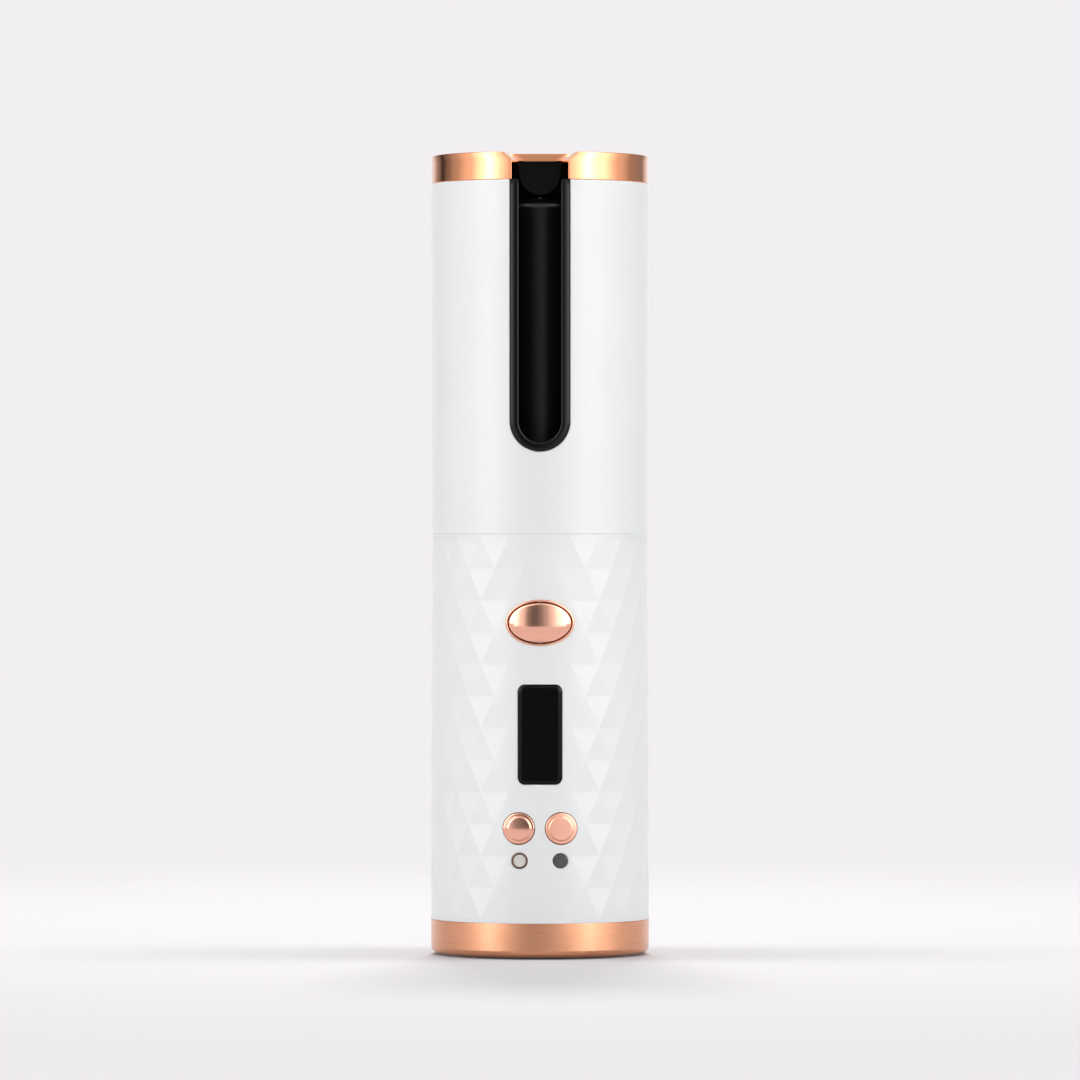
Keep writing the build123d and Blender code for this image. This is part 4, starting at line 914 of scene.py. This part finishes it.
def makeWindow():
    # black pane with a sloping bevel all round, in rounded rectangles that shrink from the edge to the middle
    width, height = front["windowSize"]
    corner = front["windowCorner"]
    middle = (0, front["windowLevel"])
    thickness = window["front"] - window["back"]
    edgeHeight = thickness - window["bevelDepth"]
    rings = [(0.0, 0.0), (0.0, edgeHeight), (window["edgeInset"], edgeHeight + window["edgeRise"])]
    rings += [(window["bevel"], thickness)]
    loops = []
    for inset, rise in rings:
        size = [side - 2 * inset - window["play"] for side in (width, height)]
        loop = roundedLoop(middle, *size, max(corner - inset, 0.3), 8)
        loops.append(np.stack([loop[:, 0], np.full(len(loop), -(window["back"] + rise)), loop[:, 1]], -1))
    count = len(loops[0])
    points = np.concatenate(loops)
    faces = gridFaces(len(loops), count).tolist()
    faces += [list(range(count))[::-1], list(range(len(points) - count, len(points)))]
    piece = makePiece("displayPane", points, faces, "display_black", "housing", ["display_window"])
    softenEdges(piece, 0.16, 15)


makeWindow()

button = {
    "radius": 4.0,
    "faceRadius": 3.05,
    "front": 27.72,
    "step": 0.45,
    "back": 25.0,
    "domeRises": {-1: 0.14, 1: 0.02},  # left, right
    "lean": 9.0,  # degrees
    "play": 0.02,
}


def leanOut(piece, side):  # the button's face follows the shell's curve: its outer side lies further back
    corners = np.zeros(len(piece.data.vertices) * 3)
    piece.data.vertices.foreach_get("co", corners)
    corners = corners.reshape(-1, 3)
    outward = side * corners[:, 0] - front["buttonSpread"] / 1000
    share = np.clip(-corners[:, 1] * 1000 - button["back"], 0, 1)
    corners[:, 1] += share * outward * math.tan(math.radians(button["lean"]))
    piece.data.vertices.foreach_set("co", corners.ravel())


for side, name in ((-1, "Left"), (1, "Right")):
    body = "button_" + name.lower()
    face = button["faceRadius"]
    r = np.linspace(0, face - 0.25, 9)
    dome = np.stack([r, button["front"] - button["domeRises"][side] * (r / face) ** 2], -1)[::-1]
    edgeHeight = dome[0, 1]
    stepHeight = edgeHeight - button["step"]
    rim = button["radius"] - button["play"]
    profile = [(0, button["back"]), (rim, button["back"]), (rim, stepHeight - 0.2)]
    profile += [(button["radius"] - 0.3, stepHeight), (face + 0.1, stepHeight), (face, edgeHeight - 0.2)]
    profile += dome.tolist()
    centre = (side * front["buttonSpread"], 0, front["buttonLevel"])
    shape = {"count": 96, "centre": centre, "alongY": True, "soften": 0.12}
    piece = turned("button" + name, profile, "rose_gold_polished", body, [body], **shape)
    piece.data.materials[0] = pinkPlating if side < 0 else pinkSatin
    leanOut(piece, side)

light = {
    "ringFront": 27.66,
    "lensFront": 27.5,
    "darkFront": 27.56,
    "lens": 1.6,
    "back": 25.6,
    "play": 0.02,
    "lensRise": 0.12,
    "darkRise": 0.1,
}
leftLight = {"count": 64, "centre": (-front["lightSpread"], 0, front["lightLevel"]), "alongY": True}
rightLight = {"count": 64, "centre": (front["lightSpread"], 0, front["lightLevel"]), "alongY": True}
edge, lens, top = front["lightHoles"][0] - light["play"], light["lens"], light["ringFront"]
profile = [(edge, light["back"]), (edge, top - 0.15), (edge - 0.15, top)]
profile += [(lens + 0.1, top), (lens, top - 0.12), (lens, light["back"])]
turned("lightRing", profile, "indicator_rim", "housing", ["indicator_ring"], soften=0.06, **leftLight)
r = np.linspace(lens - light["play"], 0, 8)
dome = np.stack([r, light["lensFront"] + light["lensRise"] - light["lensRise"] * (r / lens) ** 2], -1)
profile = [(0, light["back"]), (lens - light["play"], light["back"])] + dome.tolist()
turned("lightLeft", profile, "indicator_clear", "housing", ["indicator_lens_left"], **leftLight)
edge = front["lightHoles"][1] - light["play"]
r = np.linspace(edge - 0.25, 0, 8)
dome = np.stack([r, light["darkFront"] - light["darkRise"] * (r / edge) ** 2], -1)
profile = [(0, light["back"]), (edge, light["back"]), (edge, light["darkFront"] - 0.25)] + dome.tolist()
turned("lightRight", profile, "indicator_dark", "housing", ["indicator_lens_right"], soften=0.1, **rightLight)
print("buttons, window and lights")

studio = {
    "pale": "F2EFF2",
    "floorRadius": 6.0,
    "floorGlow": 0.1,  # the part of the floor's brightness that shadows don't darken
    "floorMatt": 0.435,
    "ambient": 0.58,  # strength of the room as a light
    "cameraHeight": 0.1059,
    "cameraDistance": 1.85,
    "lens": 240.9,
    "brightest": 6.0,  # the room where it is brightest, in reflections
}


def stagePiece(name, materialName, points, faces):
    # mesh that belongs to the studio; its material starts with no nodes
    mesh = bpy.data.meshes.new(name)
    mesh.from_pydata(points.tolist(), [], faces)
    material = bpy.data.materials.new(materialName)
    material.use_nodes = True
    material.node_tree.nodes.clear()
    mesh.materials.append(material)
    piece = bpy.data.objects.new(name, mesh)
    scene.collection.objects.link(piece)
    return piece, material.node_tree


def makeFloor():
    t = np.linspace(0, 2 * math.pi, 96, endpoint=False)
    rings = np.array([0, 0.3, 0.8, 2, studio["floorRadius"]])[:, None] + 0 * t
    points = np.stack([rings * np.cos(t), rings * np.sin(t), 0 * rings], -1).reshape(-1, 3)
    points, faces = joinPoints(points * 1000, gridFaces(len(rings), len(t)))
    tree = stagePiece("studioFloor", "paintedFloor", points / 1000, faces)[1]
    pale = hexColour(studio["pale"])
    place = addNode(tree, "ShaderNodeTexCoord").outputs["Object"]
    distance = addNode(tree, "ShaderNodeVectorMath", {"operation": "LENGTH"}, {0: place}).outputs["Value"]
    reach = {"Value": distance, "From Min": 0.2, "From Max": 0.6}
    far = addNode(tree, "ShaderNodeMapRange", {"interpolation_type": "SMOOTHSTEP"}, reach)
    glow = addNode(tree, "ShaderNodeEmission", None, {"Color": pale, "Strength": studio["floorGlow"]})
    mattColour = [c * studio["floorMatt"] for c in pale[:3]] + [1.0]
    matt = addNode(tree, "ShaderNodeBsdfDiffuse", None, {"Color": mattColour})
    near = addNode(tree, "ShaderNodeAddShader", None, {0: glow.outputs[0], 1: matt.outputs[0]})
    backdrop = addNode(tree, "ShaderNodeEmission", None, {"Color": pale, "Strength": 1.0})
    shares = {0: far.outputs[0], 1: near.outputs[0], 2: backdrop.outputs[0]}
    mix = addNode(tree, "ShaderNodeMixShader", None, shares)
    addNode(tree, "ShaderNodeOutputMaterial", None, {"Surface": mix.outputs[0]})


def makeLight(name, place, size, power, colour=(1, 1, 1)):
    # soft rectangular light aimed at the middle of the curler; reflections see the room instead of it
    data = bpy.data.lights.new(name, "AREA")
    data.shape = "RECTANGLE"
    data.size, data.size_y = size
    data.energy = power
    data.color = colour
    lamp = bpy.data.objects.new(name, data)
    lamp.location = place
    lamp.rotation_mode = "QUATERNION"
    lamp.rotation_quaternion = (Vector(place) - Vector((0, 0, 0.1))).to_track_quat("Z", "Y")
    lamp.visible_camera = False
    lamp.visible_glossy = False
    scene.collection.objects.link(lamp)


def brightnessRound(tree, angle, stops):
    # brightness by azimuth: stops are (degrees, brightness), 0 straight in front, positive to the right
    span = {"Value": angle, "From Min": -math.pi, "From Max": math.pi}
    share = addNode(tree, "ShaderNodeMapRange", None, span)
    ramp = addNode(tree, "ShaderNodeValToRGB", None, {"Fac": share.outputs[0]})
    ramp.color_ramp.interpolation = "EASE"
    marks = ramp.color_ramp.elements
    marks.remove(marks[0])
    for index, (azimuth, brightness) in enumerate(stops):
        mark = marks.new(azimuth / 360 + 0.5) if index else marks[0]
        mark.position = azimuth / 360 + 0.5
        mark.color = [brightness / studio["brightest"]] * 3 + [1.0]
    return ramp.outputs["Color"]


def azimuthOf(tree, vector):
    split = addNode(tree, "ShaderNodeSeparateXYZ", None, {0: vector})
    ahead = addNode(tree, "ShaderNodeMath", {"operation": "MULTIPLY"}, {0: split.outputs["Y"], 1: -1.0})
    sides = {0: split.outputs["X"], 1: ahead.outputs[0]}
    angle = addNode(tree, "ShaderNodeMath", {"operation": "ARCTAN2"}, sides)
    return angle.outputs[0], split.outputs["Z"]


def makeCard(name, distance, width, heights, stops):
    # upright card in front of the curler that only reflections see: the dark part of the room
    left, right = np.array([[-width / 2, -distance, 0], [width / 2, -distance, 0]])
    low, high = np.array([[0, 0, height] for height in heights])
    corners = np.array([left + low, right + low, right + high, left + high])
    card, tree = stagePiece(name, name, corners, [[0, 1, 2, 3]])
    angle = azimuthOf(tree, addNode(tree, "ShaderNodeTexCoord").outputs["Object"])[0]
    colour = brightnessRound(tree, angle, stops)
    glow = addNode(tree, "ShaderNodeEmission", None, {"Color": colour, "Strength": studio["brightest"]})
    addNode(tree, "ShaderNodeOutputMaterial", None, {"Surface": glow.outputs[0]})
    card.visible_camera = False
    card.visible_diffuse = False
    card.visible_shadow = False
    card.visible_transmission = False


makeFloor()
for side, name in ((-1, "Left"), (1, "Right")):
    makeLight("sideLight" + name, (side * 1.1, -0.7, 0.45), (0.4, 1.4), 0.35)
for side, name in ((-1, "Left"), (1, "Right")):
    makeLight("topLight" + name, (side * 0.42, 0, 1.45), (0.27, 0.7), 11.5)
makeLight("topLightBack", (0, 0.75, 1.3), (0.35, 0.35), 18.0)
makeLight("frontLight", (0, -1.5, 0.5), (0.7, 0.7), 4.4, (1.0, 0.97, 0.93))
cameraSide = [
    (-60, 3.0), (-45, 2.6), (-30, 1.1), (-19, 0.3), (-11, 0.17), (-5, 0.19),
    (0, 0.28), (10, 0.55), (20, 1.0), (33, 2.0), (45, 3.2), (60, 3.4),
]
makeCard("cameraSide", 0.7, 1.4, (0.0, 0.5), cameraSide)

world = bpy.data.worlds.new("studioWorld")
world.use_nodes = True
tree = world.node_tree
room = [
    (-180, 0.95), (-155, 0.95), (-140, 0.4), (-127, 0.06), (-116, 0.3), (-103, 0.65),
    (-80, 1.4), (-66, 3.0), (-56, 6.0), (-46, 3.4), (-30, 1.5), (0, 0.7),
    (22, 1.2), (35, 2.4), (44, 4.0), (52, 6.0), (66, 3.6), (94, 1.1),
    (115, 0.5), (128, 0.42), (139, 0.35), (150, 0.8), (160, 1.1), (180, 0.95),
]
angle, height = azimuthOf(tree, addNode(tree, "ShaderNodeTexCoord").outputs["Generated"])
sides = brightnessRound(tree, angle, room)
rise = {"Value": height, "From Min": 0.7, "From Max": 0.95}
up = addNode(tree, "ShaderNodeMapRange", {"interpolation_type": "SMOOTHSTEP"}, rise)
ceiling = [1 / studio["brightest"]] * 3 + [1.0]
dome = addNode(tree, "ShaderNodeMix", {"data_type": "RGBA"}, {0: up.outputs[0], 6: sides, 7: ceiling})
rays = addNode(tree, "ShaderNodeLightPath").outputs
roomLight = {"Color": dome.outputs[2], "Strength": studio["brightest"]}
shine = addNode(tree, "ShaderNodeBackground", None, roomLight)
evenLight = {"Color": [0.9, 0.9, 0.9, 1.0], "Strength": studio["ambient"]}
even = addNode(tree, "ShaderNodeBackground", None, evenLight)
paper = addNode(tree, "ShaderNodeBackground", None, {"Color": hexColour(studio["pale"]), "Strength": 1.0})
byGloss = {0: rays["Is Glossy Ray"], 1: even.outputs[0], 2: shine.outputs[0]}
lit = addNode(tree, "ShaderNodeMixShader", None, byGloss)
byCamera = {0: rays["Is Camera Ray"], 1: lit.outputs[0], 2: paper.outputs[0]}
seen = addNode(tree, "ShaderNodeMixShader", None, byCamera)
tree.links.new(seen.outputs[0], tree.nodes["World Output"].inputs["Surface"])
scene.world = world
scene.view_settings.view_transform = "Standard"

camera = bpy.data.cameras.new("camera")
camera.lens = studio["lens"]
camera.sensor_width = 36
cameraObject = bpy.data.objects.new("camera", camera)
cameraObject.location = (0, -studio["cameraDistance"], studio["cameraHeight"])
cameraObject.rotation_euler = (math.pi / 2, 0, 0)
scene.collection.objects.link(cameraObject)
scene.camera = cameraObject
print("studio")
